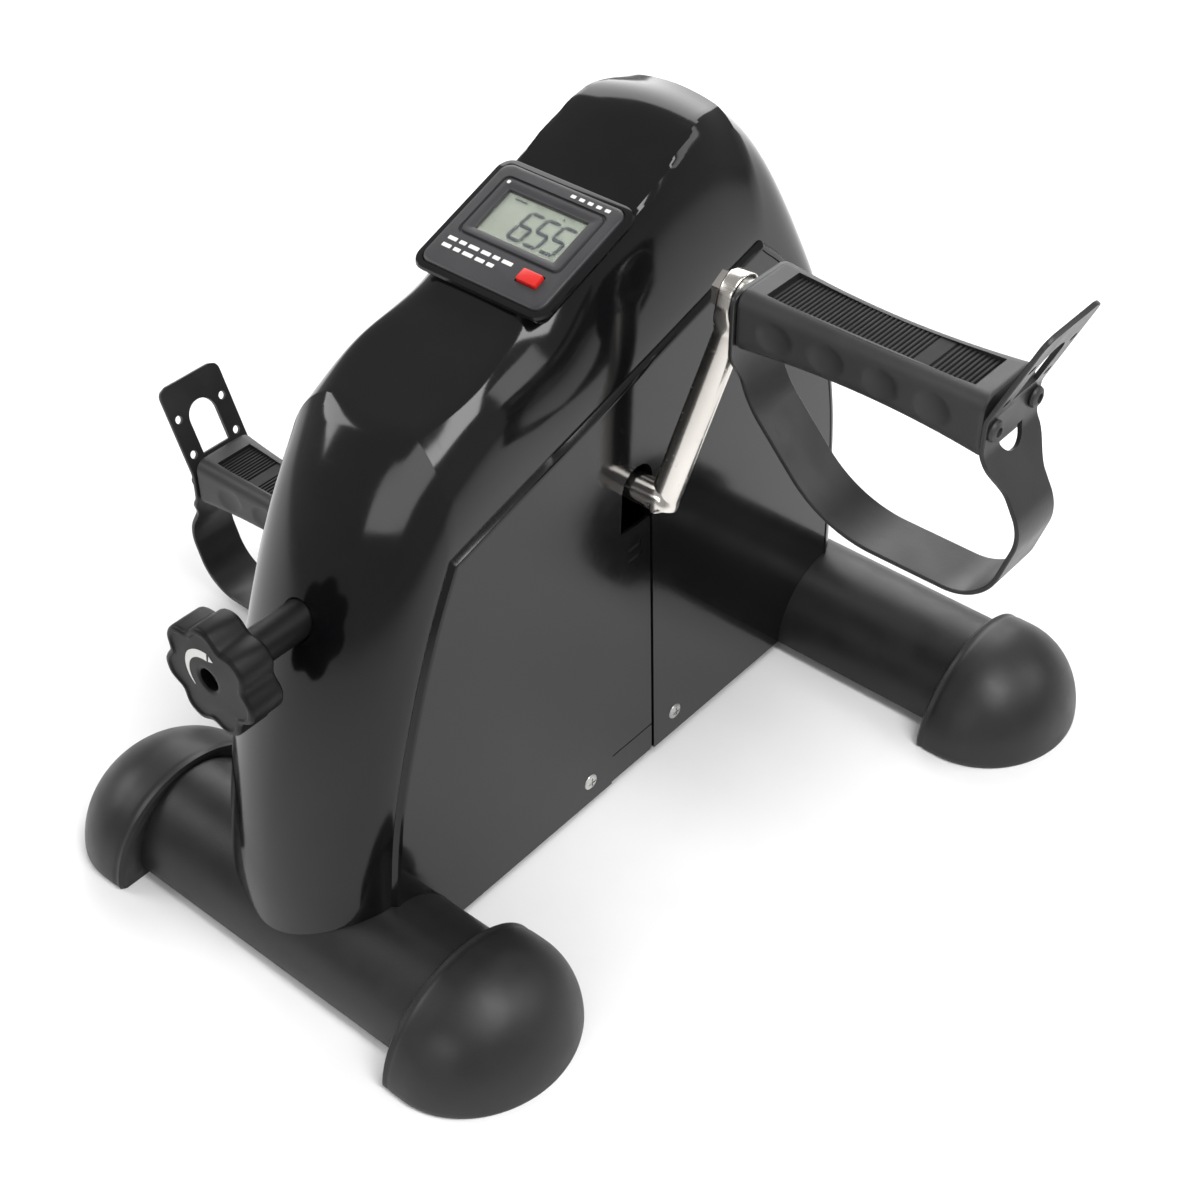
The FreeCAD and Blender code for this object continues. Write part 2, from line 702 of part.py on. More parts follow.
lcd = box(-lcd_half_width - 1, lcd_half_width + 1, lcd_low - 1, lcd_high + 1,
          lcd_top - lcd_thickness, lcd_top)
save("lcd_panel", tilted(lcd))
board_top = lcd_top - lcd_thickness
board_half_x = body_half_x - meter_wall - meter_fit
board_half_y = body_half_y - meter_wall - meter_fit
board = rounded_plate(board_half_x, board_half_y, board_top - board_thickness, board_top, meter_corner - 2)
save("meter_board", tilted(board))
button_foot = board_top + button_travel + button_fit
button = box(button_x - button_half_width, button_x + button_half_width, button_y - button_half_length,
             button_y + button_half_length, button_foot, button_proud)
button_stop = lcd_top - button_fit
lip_x, lip_y = button_half_width + 2 * button_fit, button_half_length + 2 * button_fit
button = button.fuse(box(button_x - lip_x, button_x + lip_x, button_y - lip_y, button_y + lip_y,
                         button_foot, button_stop))
save("meter_button", tilted(only_solid(button)))
cell_top = board_top - board_thickness
cell = rod(battery_radius, vec(0, 0, cell_top), vec(0, 0, cell_top - battery_thickness))
save("button_cell", tilted(cell))
back = rounded_plate(body_half_x - meter_wall, body_half_y - meter_wall, -meter_depth,
                     -meter_depth + door_thickness, meter_corner - 2)
rim_top = board_top - board_thickness
back_rim = rounded_plate(body_half_x - meter_wall - meter_fit, body_half_y - meter_wall - meter_fit,
                         -meter_depth, rim_top, meter_corner - 2)
back_rim = back_rim.cut(rounded_plate(body_half_x - 2 * meter_wall, body_half_y - 2 * meter_wall,
                                      -meter_depth - 1, rim_top + 1, meter_corner - 2.5))
save("meter_back", tilted(only_solid(back.fuse(back_rim))))

seat_reach_x = meter_half_width + meter_fit
seat_reach_y = meter_half_length + meter_fit
above = tilted(rounded_plate(seat_reach_x, seat_reach_y, -meter_flange, 4 * meter_depth, meter_corner))
through = tilted(box(-body_half_x - meter_fit, body_half_x + meter_fit, -body_half_y - meter_fit,
                     body_half_y + meter_fit, -4 * meter_depth, 0))
seat = tilted(rounded_plate(seat_reach_x + seat_rim, seat_reach_y + seat_rim, -meter_flange - shell, -1,
                            meter_corner + 1))
housing = housing.fuse(seat).cut(above).cut(through)
save("housing_shell", only_solid(housing))

# ================================================================ speed sensor
sensor_w, sensor_l, sensor_h = sensor_size
sensor = box(rail_half_width - sensor_w, rail_half_width, crank_y - sensor_l / 2, crank_y + sensor_l / 2,
             magnet_base - sensor_h / 2, magnet_base + sensor_h / 2)
save("speed_sensor", sensor)

# ================================================================ pedals
pedal_end = pedal_start + pedal_length
pedal_mid = (pedal_start + pedal_end) / 2
pocket_start = pedal_end - nut_pocket_depth


def pedal_section(x, half_y, half_z):
    """Rounded rectangle across the pedal at x."""
    plate = box(x, x + 1, -half_y, half_y, -half_z, half_z)
    corners = [e for e in plate.Edges if e.BoundBox.XLength > 0.9]
    block = plate.makeFillet(pedal_corner, corners)
    face = min(block.Faces, key=lambda f: f.CenterOfMass.x)
    return face.OuterWire


pedal = Part.makeLoft([pedal_section(pedal_start, pedal_end_half_width, pedal_end_half_height),
                       pedal_section(pedal_mid, pedal_mid_half_width, pedal_mid_half_height),
                       pedal_section(pedal_end, pedal_end_half_width, pedal_end_half_height)], True, False)
bush_radius = axle_radius + running_fit + pedal_bush_wall
pedal = pedal.cut(rod_x(bush_radius, pedal_start - 1, pedal_end + 1, 0, 0))
pedal = pedal.cut(rod_x(nut_pocket_radius, pocket_start, pedal_end + 1, 0, 0))
tread_x0, tread_x1 = pedal_start + tread_margin, pedal_end - tread_margin
pocket = box(tread_x0 - tread_fit, tread_x1 + tread_fit, -tread_half_width - tread_fit,
             tread_half_width + tread_fit, tread_floor, 3 * tread_floor)
pedal = pedal.cut(pocket)
stud_holes = []
studs = []
pad_x = pedal_end + strap_gap
stud_face = pad_x + strap_thickness + strap_gap
for side in (-1, 1):
    y = side * stud_offset
    stud_holes.append(rod_x(stud_radius, pedal_end - stud_depth, pedal_end + 1, y, 0))
    studs.append(only_solid(rod_x(stud_radius, pedal_end - stud_depth, stud_face, y, 0).fuse(
        rod_x(stud_head_radius, stud_face, stud_face + stud_head, y, 0))))
for hole in stud_holes:
    pedal = pedal.cut(hole)
pedal = only_solid(pedal)
tread = box(tread_x0, tread_x1, -tread_half_width, tread_half_width, tread_floor,
            tread_floor + tread_thickness)
rib_count = int((tread_x1 - tread_x0) / tread_rib_pitch)
for k in range(1, rib_count):
    x = tread_x0 + k * tread_rib_pitch
    tread = tread.cut(box(x - tread_rib_pitch / 4, x + tread_rib_pitch / 4, -tread_half_width,
                          tread_half_width, tread_floor + tread_thickness - tread_rib_height,
                          tread_floor + tread_thickness + 1))
bush_ends = [(pedal_start, pedal_start + pedal_bush_length), (pocket_start - pedal_bush_length, pocket_start)]
pedal_bushes = [tube_x(bush_radius, axle_radius + running_fit, x0, x1, 0, 0) for x0, x1 in bush_ends]
washer_x = pocket_start + running_fit
nut_x = washer_x + washer_thickness
washer = tube_x(nut_pocket_radius - 1, axle_radius, washer_x, nut_x, 0, 0)
axle_nut = hexagon(axle_nut_half, axle_nut_thickness, vec(nut_x, 0, 0), across)
axle_nut = only_solid(axle_nut.cut(rod_x(axle_radius, nut_x - 1, nut_x + axle_nut_thickness + 1, 0, 0)))
eye_inner = arm_x - eye_thickness / 2
axle = rod_x(axle_radius, eye_inner, nut_x + axle_nut_thickness, 0, 0)
axle_hexagon = hexagon(axle_head_radius - 1, axle_head, vec(eye_inner - axle_head, 0, 0), across)
axle = only_solid(axle.fuse(axle_hexagon))
strap_inside = pedal_start - strap_gap - strap_thickness
spacer = tube_x(axle_head_radius, axle_radius, arm_x + eye_thickness / 2, strap_inside - running_fit, 0, 0)


def strap_shape(depth):
    """The foot strap: fixed at the inner end, hung as a loop and studded at the outer end."""
    inner_x = strap_inside + strap_thickness / 2
    outer_x = pad_x + strap_thickness / 2
    low = strap_thickness / 2 - depth
    points = [vec(inner_x, 0, strap_top), vec(inner_x, 0, -strap_drop), vec(strap_turn_x, 0, low),
              vec(outer_x + strap_belly / 3, 0, low), vec(outer_x + strap_belly, 0, -strap_belly_z),
              vec(outer_x, 0, -stud_radius * 4), vec(outer_x, 0, stud_radius * 2),
              vec(outer_x + strap_free_reach, 0, stud_radius * 2 + strap_free_rise)]
    path = rounded_path(points, strap_radii)
    half = strap_thickness / 2
    corners = [vec(inner_x + dx * half, dy * strap_pad_half_width, strap_top)
               for dx, dy in ((-1, -1), (1, -1), (1, 1), (-1, 1), (-1, -1))]
    strap = path.makePipeShell([Part.makePolygon(corners)], True, False)
    for side in (-1, 1):
        edge = sorted((side * strap_half_width, side * 2 * strap_pad_half_width))
        strap = strap.cut(box(strap_inside - 1, pedal_end + 2 * strap_belly, edge[0], edge[1],
                              -2 * depth, -strap_shoulder))
        strap = strap.cut(rod_x(stud_radius + running_fit, pad_x - 1, stud_face + 1, side * stud_offset, 0))
    strap = strap.cut(rod_x(axle_radius + strap_gap, strap_inside - 1, pedal_start, 0, 0))
    return only_solid(strap)


def placed(shape, side):
    """A pedal piece moved from its axle line to the right or the left crank eye."""
    moved = shape.copy() if side == "right" else mirrored(shape)
    eye = right_eye if side == "right" else left_eye
    moved.translate(vec(0, eye.y, eye.z))
    return moved


for side in ("right", "left"):
    save(side + "_pedal", placed(pedal, side))
    save(side + "_tread", placed(tread, side))
    save(side + "_pedal_bushes", *[placed(piece, side) for piece in pedal_bushes])
    save(side + "_axle", placed(axle, side))
    save(side + "_strap", placed(strap_shape(strap_depth[side]), side))
    save(side + "_strap_studs", *[placed(piece, side) for piece in studs])

for name, piece in (("axle_washers", washer), ("axle_nuts", axle_nut), ("axle_spacers", spacer)):
    save(name, placed(piece, "right"), placed(piece, "left"))

# ================================================================ sensor lead
# from the back of the sensor, up behind the bearings, into the back of the meter
lead_x = (drum_half_width + rail_half_width) / 2
lead_rise_y = crank_y + block_half_length + lead_bend
lead_end = meter_place.multVec(vec(lead_x, 0, -meter_depth))
lead_before = meter_place.multVec(vec(lead_x, 0, -meter_depth - lead_bend))
lead_start = vec(lead_x, crank_y + sensor_l / 2, magnet_base)
lead_points = [lead_start, vec(lead_x, lead_rise_y, magnet_base),
               vec(lead_x, lead_rise_y, lead_before.z - lead_bend), lead_before, lead_end]
lead_path = rounded_path(lead_points, [lead_bend / 2] * 3)
lead_profile = Part.Wire(Part.makeCircle(lead_radius, lead_start, vec(0, 1, 0)))
save("sensor_lead", lead_path.makePipeShell([lead_profile], True, False))
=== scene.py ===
import json
import math

import bmesh
import bpy
import numpy as np
from mathutils import Matrix, Vector


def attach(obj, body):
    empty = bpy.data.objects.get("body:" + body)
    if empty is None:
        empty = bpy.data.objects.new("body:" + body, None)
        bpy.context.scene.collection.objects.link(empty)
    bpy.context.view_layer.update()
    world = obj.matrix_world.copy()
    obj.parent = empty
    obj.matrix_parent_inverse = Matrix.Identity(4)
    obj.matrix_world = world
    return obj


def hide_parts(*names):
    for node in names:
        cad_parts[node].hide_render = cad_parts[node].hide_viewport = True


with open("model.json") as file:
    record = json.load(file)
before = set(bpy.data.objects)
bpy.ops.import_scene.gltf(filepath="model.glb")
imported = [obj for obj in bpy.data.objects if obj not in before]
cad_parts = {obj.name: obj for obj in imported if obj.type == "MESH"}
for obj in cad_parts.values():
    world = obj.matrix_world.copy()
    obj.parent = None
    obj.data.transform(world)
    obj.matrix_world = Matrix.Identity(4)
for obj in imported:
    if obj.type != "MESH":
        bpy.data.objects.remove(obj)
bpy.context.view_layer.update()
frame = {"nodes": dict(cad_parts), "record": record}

# Pedal exerciser. Every shape below is worked out in millimetres and stored in metres.
# +X is the right pedal's side, +Y is away from the tension knob, the floor is z = 0.
MM = 0.001
MERGE = 1e-6                # metres; points nearer than this are one


# ------------------------------------------------------------------ mesh helpers
def piece(name, vertices, faces, material, body, node=None, slot=None, sharp=35.0):
    """A smooth-shaded mesh piece in millimetres that rides on a body and may stand for a CAD node."""
    mesh = bpy.data.meshes.new(name)
    mesh.from_pydata([tuple(v) for v in np.asarray(vertices, float) * MM], [], faces)
    mesh.validate()
    obj = bpy.data.objects.new(name, mesh)
    bpy.context.scene.collection.objects.link(obj)
    return finish_piece(obj, material, body, node, sharp)


def cleaned(mesh):
    """Merge doubled points and turn every face outwards."""
    work = bmesh.new()
    work.from_mesh(mesh)
    bmesh.ops.remove_doubles(work, verts=work.verts, dist=MERGE)
    bmesh.ops.recalc_face_normals(work, faces=work.faces)
    work.to_mesh(mesh)
    work.free()


def finish_piece(obj, material, body, node=None, sharp=35.0):
    """Clean and shade a mesh object, give it its material and tell the frame what it rides on."""
    cleaned(obj.data)
    obj.data.shade_smooth()
    obj.data.set_sharp_from_angle(angle=math.radians(sharp))
    obj.data.materials.clear()
    obj.data.materials.append(material)
    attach(obj, body)
    if node:
        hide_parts(*([node] if isinstance(node, str) else node))
    return obj


def loft(rings, closed=True, cap_start=True, cap_end=True):
    """Vertices and faces of a skin through rings that have equally many points."""
    rings = [np.asarray(ring, float) for ring in rings]
    size = len(rings[0])
    vertices = np.concatenate(rings)
    faces = []
    for r in range(len(rings) - 1):
        for k in range(size if closed else size - 1):
            a, b = r * size + k, r * size + (k + 1) % size
            faces.append((a, b, b + size, a + size))
    if cap_start:
        faces.append(tuple(range(size))[::-1])
    if cap_end:
        faces.append(tuple(range((len(rings) - 1) * size, len(rings) * size)))
    return vertices, faces


def merged(parts):
    """Several (vertices, faces) pairs as one."""
    vertices, faces, count = [], [], 0
    for v, f in parts:
        vertices.append(np.asarray(v, float))
        faces += [tuple(i + count for i in face) for face in f]
        count += len(v)
    return np.concatenate(vertices), faces


def turned(vertices, matrix):
    """Points in millimetres under a 4x4 matrix."""
    m = np.array(matrix)
    return np.asarray(vertices, float) @ m[:3, :3].T + m[:3, 3]


def rounded_outline(half_x, half_y, corner, steps=6, centre=(0.0, 0.0)):
    """A rounded rectangle, anticlockwise."""
    points = []
    for quarter, (sx, sy) in enumerate(((1, 1), (-1, 1), (-1, -1), (1, -1))):
        cx, cy = centre[0] + sx * (half_x - corner), centre[1] + sy * (half_y - corner)
        for k in range(steps + 1):
            angle = math.pi / 2 * (quarter + k / steps)
            points.append((cx + corner * math.cos(angle), cy + corner * math.sin(angle)))
    return np.array(points)


def stacked(half_x, half_y, corner, levels, centre=(0.0, 0.0), steps=6):
    """A plate from (height, inset) levels of one rounded rectangle."""
    rings = []
    for height, inset in levels:
        outline = rounded_outline(half_x - inset, half_y - inset, max(corner - inset, 0.2), steps, centre)
        rings.append(np.column_stack([outline, np.full(len(outline), height)]))
    return loft(rings)


def lathe(levels, steps=48):
    """A turned part about local Z from (height, radius) levels."""
    angles = np.linspace(0, 2 * math.pi, steps, endpoint=False)
    rings = [np.column_stack([r * np.cos(angles), r * np.sin(angles), np.full(steps, h)]) for h, r in levels]
    return loft(rings)


def aimed(origin, direction):
    """Matrix that takes local Z to direction, with its origin in millimetres."""
    turn = Vector((0, 0, 1)).rotation_difference(Vector(direction).normalized())
    return Matrix.Translation(Vector(origin)) @ turn.to_matrix().to_4x4()


def path_with_arcs(points, radii, step=1.5):
    """Evenly sampled points along straight runs joined by tangent arcs."""
    points = [np.asarray(p, float) for p in points]
    samples = [points[0]]
    for before, corner, after, radius in zip(points, points[1:], points[2:], radii):
        back = (before - corner) / np.linalg.norm(before - corner)
        ahead = (after - corner) / np.linalg.norm(after - corner)
        half = math.acos(np.clip(back @ ahead, -1, 1)) / 2
        middle = (back + ahead) / np.linalg.norm(back + ahead)
        centre = corner + middle * radius / math.sin(half)
        first = corner + back * radius / math.tan(half)
        sweep = math.pi - 2 * half
        u = (first - centre) / radius
        w = ahead - (ahead @ u) * u
        w /= np.linalg.norm(w)
        count = max(int(radius * sweep / step), 4)
        for k in range(count + 1):
            a = sweep * k / count
            samples.append(centre + radius * (u * math.cos(a) + w * math.sin(a)))
    samples.append(points[-1])
    return resampled(np.array(samples), step)


def resampled(points, step=None, count=None):
    """Points at even distances along a polyline."""
    lengths = np.concatenate([[0], np.cumsum(np.linalg.norm(np.diff(points, axis=0), axis=1))])
    count = count or max(int(lengths[-1] / step) + 1, 2)
    at = np.linspace(0, lengths[-1], count)
    return np.column_stack([np.interp(at, lengths, points[:, k]) for k in range(points.shape[1])])


def smooth_curve(points, count):
    """Cubic curve through points, evenly sampled."""
    p = np.asarray(points, float)
    t = np.concatenate([[0], np.cumsum(np.sqrt(np.linalg.norm(np.diff(p, axis=0), axis=1)))])
    slope = np.gradient(p, t, axis=0)
    dense = []
    for k in range(len(p) - 1):
        h = t[k + 1] - t[k]
        for s in np.linspace(0, 1, 24, endpoint=False):
            a, b = 2 * s**3 - 3 * s**2 + 1, s**3 - 2 * s**2 + s
            c, d = -2 * s**3 + 3 * s**2, s**3 - s**2
            dense.append(a * p[k] + b * h * slope[k] + c * p[k + 1] + d * h * slope[k + 1])
    dense.append(p[-1])
    return resampled(np.array(dense), count=count)


def ease(x):
    """0 to 1 with a soft start and end."""
    x = np.clip(x, 0, 1)
    return x * x * (3 - 2 * x)


# ------------------------------------------------------------------ materials
GRAIN_DEPTH = 0.4


def material(name, dark, light, rough, grain, bump, metallic=0.0, blotch=14.0, specular=0.5, scratch=0.0):
    """Colour that drifts between two tones, uneven roughness and a fine surface grain.

    rough is a (low, high) pair; grain is how many of the bump's cells go into a metre and blotch how
    many patches of colour; scratch adds faint stretched marks to the roughness, as handling leaves.
    """
    mat = bpy.data.materials.new(name)
    mat.use_nodes = True
    tree = mat.node_tree
    shader = tree.nodes["Principled BSDF"]
    shader.inputs["Metallic"].default_value = metallic
    shader.inputs["Specular IOR Level"].default_value = specular
    place = tree.nodes.new("ShaderNodeTexCoord").outputs["Object"]

    def noise(scale, detail, stretch=None):
        node = tree.nodes.new("ShaderNodeTexNoise")
        node.inputs["Scale"].default_value = scale
        node.inputs["Detail"].default_value = detail
        if stretch:
            mapping = tree.nodes.new("ShaderNodeMapping")
            mapping.inputs["Scale"].default_value = stretch
            tree.links.new(place, mapping.inputs["Vector"])
            tree.links.new(mapping.outputs["Vector"], node.inputs["Vector"])
        else:
            tree.links.new(place, node.inputs["Vector"])
        return node.outputs["Fac"]

    ramp = tree.nodes.new("ShaderNodeValToRGB")
    ramp.color_ramp.elements[0].position, ramp.color_ramp.elements[1].position = 0.35, 0.7
    ramp.color_ramp.elements[0].color = (*dark, 1)
    ramp.color_ramp.elements[1].color = (*light, 1)
    tree.links.new(noise(blotch, 5.0), ramp.inputs["Fac"])
    tree.links.new(ramp.outputs["Color"], shader.inputs["Base Color"])
    span = tree.nodes.new("ShaderNodeMapRange")
    span.inputs["From Min"].default_value, span.inputs["From Max"].default_value = 0.3, 0.7
    span.inputs["To Min"].default_value, span.inputs["To Max"].default_value = rough
    tree.links.new(noise(blotch * 4, 6.0), span.inputs["Value"])
    roughness = span.outputs["Result"]
    if scratch:
        marks = tree.nodes.new("ShaderNodeMapRange")
        marks.inputs["From Min"].default_value, marks.inputs["From Max"].default_value = 0.62, 0.72
        marks.inputs["To Max"].default_value = scratch
        tree.links.new(noise(60.0, 3.0, (1.0, 14.0, 3.0)), marks.inputs["Value"])
        total = tree.nodes.new("ShaderNodeMath")
        tree.links.new(roughness, total.inputs[0])
        tree.links.new(marks.outputs["Result"], total.inputs[1])
        roughness = total.outputs["Value"]
    tree.links.new(roughness, shader.inputs["Roughness"])
    relief = tree.nodes.new("ShaderNodeBump")
    relief.inputs["Strength"].default_value = bump
    relief.inputs["Distance"].default_value = GRAIN_DEPTH * MM
    tree.links.new(noise(grain, 4.0), relief.inputs["Height"])
    tree.links.new(relief.outputs["Normal"], shader.inputs["Normal"])
    return mat


GLOSS = material("gloss_black", (0.003, 0.003, 0.0035), (0.006, 0.006, 0.0065), (0.09, 0.13), 90.0, 0.02,
                 specular=0.36, scratch=0.05)
SATIN = material("satin_steel", (0.007, 0.007, 0.0073), (0.014, 0.014, 0.014), (0.34, 0.46), 1500.0, 0.12,
                 specular=0.4, scratch=0.08)
RUBBER = material("black_rubber", (0.010, 0.010, 0.0105), (0.016, 0.016, 0.016), (0.36, 0.50), 2600.0, 0.10,
                  specular=0.4)
FRAME_PAINT = material("frame_paint", (0.010, 0.010, 0.0105), (0.022, 0.022, 0.022), (0.35, 0.5), 1200.0,
                       0.15)
PLATED = material("plated_rod", (0.58, 0.55, 0.51), (0.74, 0.71, 0.67), (0.14, 0.26), 500.0, 0.05,
                  metallic=1.0, scratch=0.12)
ZINC = material("zinc_steel", (0.42, 0.42, 0.41), (0.62, 0.62, 0.60), (0.25, 0.4), 1500.0, 0.12, metallic=1.0)
NYLON = material("nylon", (0.6, 0.59, 0.54), (0.72, 0.71, 0.66), (0.4, 0.55), 1800.0, 0.08)
IRON = material("cast_iron", (0.10, 0.10, 0.10), (0.18, 0.175, 0.17), (0.5, 0.7), 900.0, 0.35, metallic=0.8)
FELT = material("felt", (0.13, 0.12, 0.11), (0.26, 0.25, 0.23), (0.85, 0.98), 3200.0, 0.6)
PLASTIC = material("matte_black", (0.014, 0.014, 0.0145), (0.026, 0.026, 0.026), (0.40, 0.52), 3000.0, 0.22)
KNOB = material("knob_black", (0.003, 0.003, 0.0032), (0.007, 0.007, 0.007), (0.36, 0.48), 2600.0, 0.16,
                specular=0.18)
TREAD = material("tread_rubber", (0.008, 0.008, 0.008), (0.012, 0.012, 0.012), (0.55, 0.7), 2600.0, 0.2,
                 specular=0.3)
VINYL = material("strap_vinyl", (0.016, 0.016, 0.0165), (0.028, 0.028, 0.028), (0.30, 0.44), 1400.0, 0.10,
                 specular=0.38, scratch=0.1)
METER = material("meter_grey", (0.022, 0.022, 0.024), (0.034, 0.034, 0.037), (0.38, 0.5), 3200.0, 0.18)
LCD = material("lcd_green", (0.30, 0.33, 0.27), (0.36, 0.39, 0.33), (0.25, 0.35), 3200.0, 0.05, blotch=40.0)
INK = material("lcd_ink", (0.02, 0.028, 0.035), (0.03, 0.04, 0.05), (0.3, 0.4), 3000.0, 0.05)
PAINT = material("white_mark", (0.62, 0.62, 0.60), (0.78, 0.78, 0.76), (0.4, 0.55), 2600.0, 0.08)
RED = material("button_red", (0.50, 0.010, 0.008), (0.66, 0.022, 0.016), (0.28, 0.4), 2600.0, 0.08)
BOARD = material("board_green", (0.01, 0.09, 0.035), (0.02, 0.15, 0.06), (0.3, 0.45), 1500.0, 0.1)
LEAD = material("lead_sheath", (0.01, 0.01, 0.01), (0.02, 0.02, 0.02), (0.4, 0.5), 2000.0, 0.1)


def glass():
    """Clear window of the display, tinted a little and faintly smeared."""
    mat = material("meter_glass", (0.80, 0.83, 0.80), (0.88, 0.90, 0.88), (0.03, 0.10), 60.0, 0.02)
    shader = mat.node_tree.nodes["Principled BSDF"]
    shader.inputs["Transmission Weight"].default_value = 1.0
    shader.inputs["IOR"].default_value = 1.3
    shader.inputs["Alpha"].default_value = 0.35
    return mat


GLASS = glass()

# finish of the CAD nodes that keep their own shape
CAD_FINISH = {
    "frame_steel": FRAME_PAINT, "zinc_steel": ZINC, "nylon": NYLON, "cast_iron": IRON, "felt": FELT,
    "matte_black": PLASTIC, "board_green": BOARD, "cell_steel": ZINC, "lead_sheath": LEAD,
    "plated_rod": PLATED, "meter_grey": METER, "meter_glass": GLASS, "lcd_green": LCD,
    "button_red": RED, "gloss_black": GLOSS, "satin_steel": SATIN, "black_rubber": RUBBER,
    "strap_vinyl": VINYL,
}
for part in frame["record"]["subparts"]:
    node = frame["nodes"][part["node"]]
    for k in range(len(node.data.materials)):
        node.data.materials[k] = CAD_FINISH[part["material_slot"]]


# ------------------------------------------------------------------ cutting
def solid(name, vertices, faces):
    """A plain closed mesh object in millimetres, for cutting or joining."""
    mesh = bpy.data.meshes.new(name)
    mesh.from_pydata([tuple(v) for v in np.asarray(vertices, float) * MM], [], faces)
    obj = bpy.data.objects.new(name, mesh)
    bpy.context.scene.collection.objects.link(obj)
    cleaned(mesh)
    return obj


def combine(obj, other, operation="DIFFERENCE"):
    """Boolean of two objects, applied; the second one is used up."""
    modifier = obj.modifiers.new("cut", "BOOLEAN")
    modifier.object, modifier.operation, modifier.solver = other, operation, "EXACT"
    graph = bpy.context.evaluated_depsgraph_get()
    mesh = bpy.data.meshes.new_from_object(obj.evaluated_get(graph))
    obj.modifiers.clear()
    obj.data = mesh
    bpy.data.objects.remove(other, do_unlink=True)
    return obj


def prism_x(outline, x0, x1):
    """A (y, z) outline between two x planes."""
    outline = np.asarray(outline, float)
    return loft([np.column_stack([np.full(len(outline), x), outline]) for x in (x0, x1)])


# ------------------------------------------------------------------ base
BEAM_OFFSET, BEAM_HALF_WIDTH, BEAM_HEIGHT, BEAM_CLEARANCE = 153.6, 34.0, 35.5, 6.0
BEAM_EDGE, OVAL_STEPS, BEAM_FIT = 0.8, 64, 0.3
RIM_X = {"front": 81.4, "rear": 137.9}
CAP_HALF_WIDTH, CAP_HEIGHT, CAP_SKIRT, CAP_DOME, CAP_SOCKET = 47.2, 44.0, 12.0, 40.8, 13.0


def oval(y, grow=0.0):
    """Cross-section of a beam as (y, z): a half oval with its lower corners just broken."""
    angle = np.linspace(0, math.pi, OVAL_STEPS)
    across = y + (BEAM_HALF_WIDTH + grow) * np.cos(angle)
    up = BEAM_CLEARANCE - grow + (BEAM_HEIGHT + 2 * grow) * np.sin(angle)
    rim = [(y + side * (BEAM_HALF_WIDTH + grow - BEAM_EDGE), BEAM_CLEARANCE - grow) for side in (-1, 1)]
    return np.concatenate([np.column_stack([across, up]), rim])


def beam(end, y):
    """Straight beam that reaches into both of its caps."""
    half = RIM_X[end] + CAP_SOCKET - 1
    section = oval(y)
    rings = [np.column_stack([np.full(len(section), x), section]) for x in np.linspace(-half, half, 31)]
    piece(end + "_beam_tube", *loft(rings), SATIN, "root", end + "_beam", "satin_steel")


def cap(end, side, y):
    """Domed rubber foot with a rolled lip where it grips the beam and a broken sole edge."""
    rings = []
    span = np.concatenate([[0.0, 0.4, 1.2, 2.4, 3.4, 4.4, 6.0, 9.0],
                           CAP_SKIRT + CAP_DOME * np.sin(np.linspace(0, math.pi / 2, 40))])
    for x in span:
        dome = math.sqrt(max(1 - max((x - CAP_SKIRT) / CAP_DOME, 0) ** 2, 1e-5))
        lip = 1.0 - 0.035 * math.exp(-(x / 0.7) ** 2) - 0.012 * math.exp(-((x - 3.4) / 0.9) ** 2)
        angle = np.linspace(0, math.pi, 72)
        across = CAP_HALF_WIDTH * dome * lip * np.cos(angle)
        up = CAP_HEIGHT * dome * lip * np.sin(angle)
        edge = 2.2 * dome
        low = up < edge
        across = np.where(low, np.sign(across) * (np.abs(across) - 0.35 * (edge - up)), across)
        inset = 2.0 * dome
        reach = CAP_HALF_WIDTH * dome * lip - inset
        sole = np.array([[-reach, 0.0], [reach, 0.0]])
        yz = np.concatenate([np.column_stack([across, np.maximum(up, 0.5 * dome)]), sole])
        rings.append(np.column_stack([np.full(len(yz), side * (RIM_X[end] + x)), y + yz[:, 0], yz[:, 1]]))
    vertices, faces = loft(rings)
    name = f"{end}_{'right' if side > 0 else 'left'}_cap"
    obj = solid(name + "_rubber", vertices, faces)
    mouth, bottom = side * (RIM_X[end] - 2), side * (RIM_X[end] + CAP_SOCKET)
    socket = solid("socket", *prism_x(oval(y, 0.1), mouth, bottom))
    combine(obj, socket)
    finish_piece(obj, RUBBER, "root", name, 50)


for end, y in (("front", -BEAM_OFFSET), ("rear", BEAM_OFFSET)):
    beam(end, y)
    for side in (-1, 1):
        cap(end, side, y)

# ------------------------------------------------------------------ housing
HALF_WIDTH, SHELL, HOUSING_BOTTOM = 47.0, 2.8, 6.0
CRANK_Y, CRANK_Z = 4.0, 172.0
METER_Y, METER_Z, METER_TILT = -12.4, 282.4, 20.5
CROWN = [(-184, 6), (-182, 50), (-171, 105), (-150, 168), (-126, 216), (-100, 249), (-72, 262),
         (-42, 268), (-12, 278.5), (16, 289.5), (38, 301), (61, 312.5), (83, 310.5), (104, 291),
         (126, 255), (147, 208), (163, 150), (176, 84), (180, 6)]
RIDGE = [(-155, 6), (-153, 40), (-147, 86), (-132, 138), (-119, 172), (-106.5, 198), (-72, 208),
         (-40, 217), (-12, 225), (14, 232.4), (36, 238.7), (60, 245.5), (86, 252.5), (104, 236),
         (122, 212), (140, 180), (152, 136), (157, 76), (159, 6)]
# half width of the flat along the top, as a share of the whole, and roundness of what is beside it
FLAT = [0, 0, 0, 0, 0, 0, 0.05, 0.38, 0.68, 0.71, 0.72, 0.66, 0.48, 0.20, 0, 0, 0, 0, 0]
ROUND = [1.85, 1.85, 1.85, 1.85, 2.0, 2.35, 2.8, 2.8, 2.2, 1.65, 1.65, 1.75, 1.95, 2.05, 2.05, 2, 2, 2, 2]
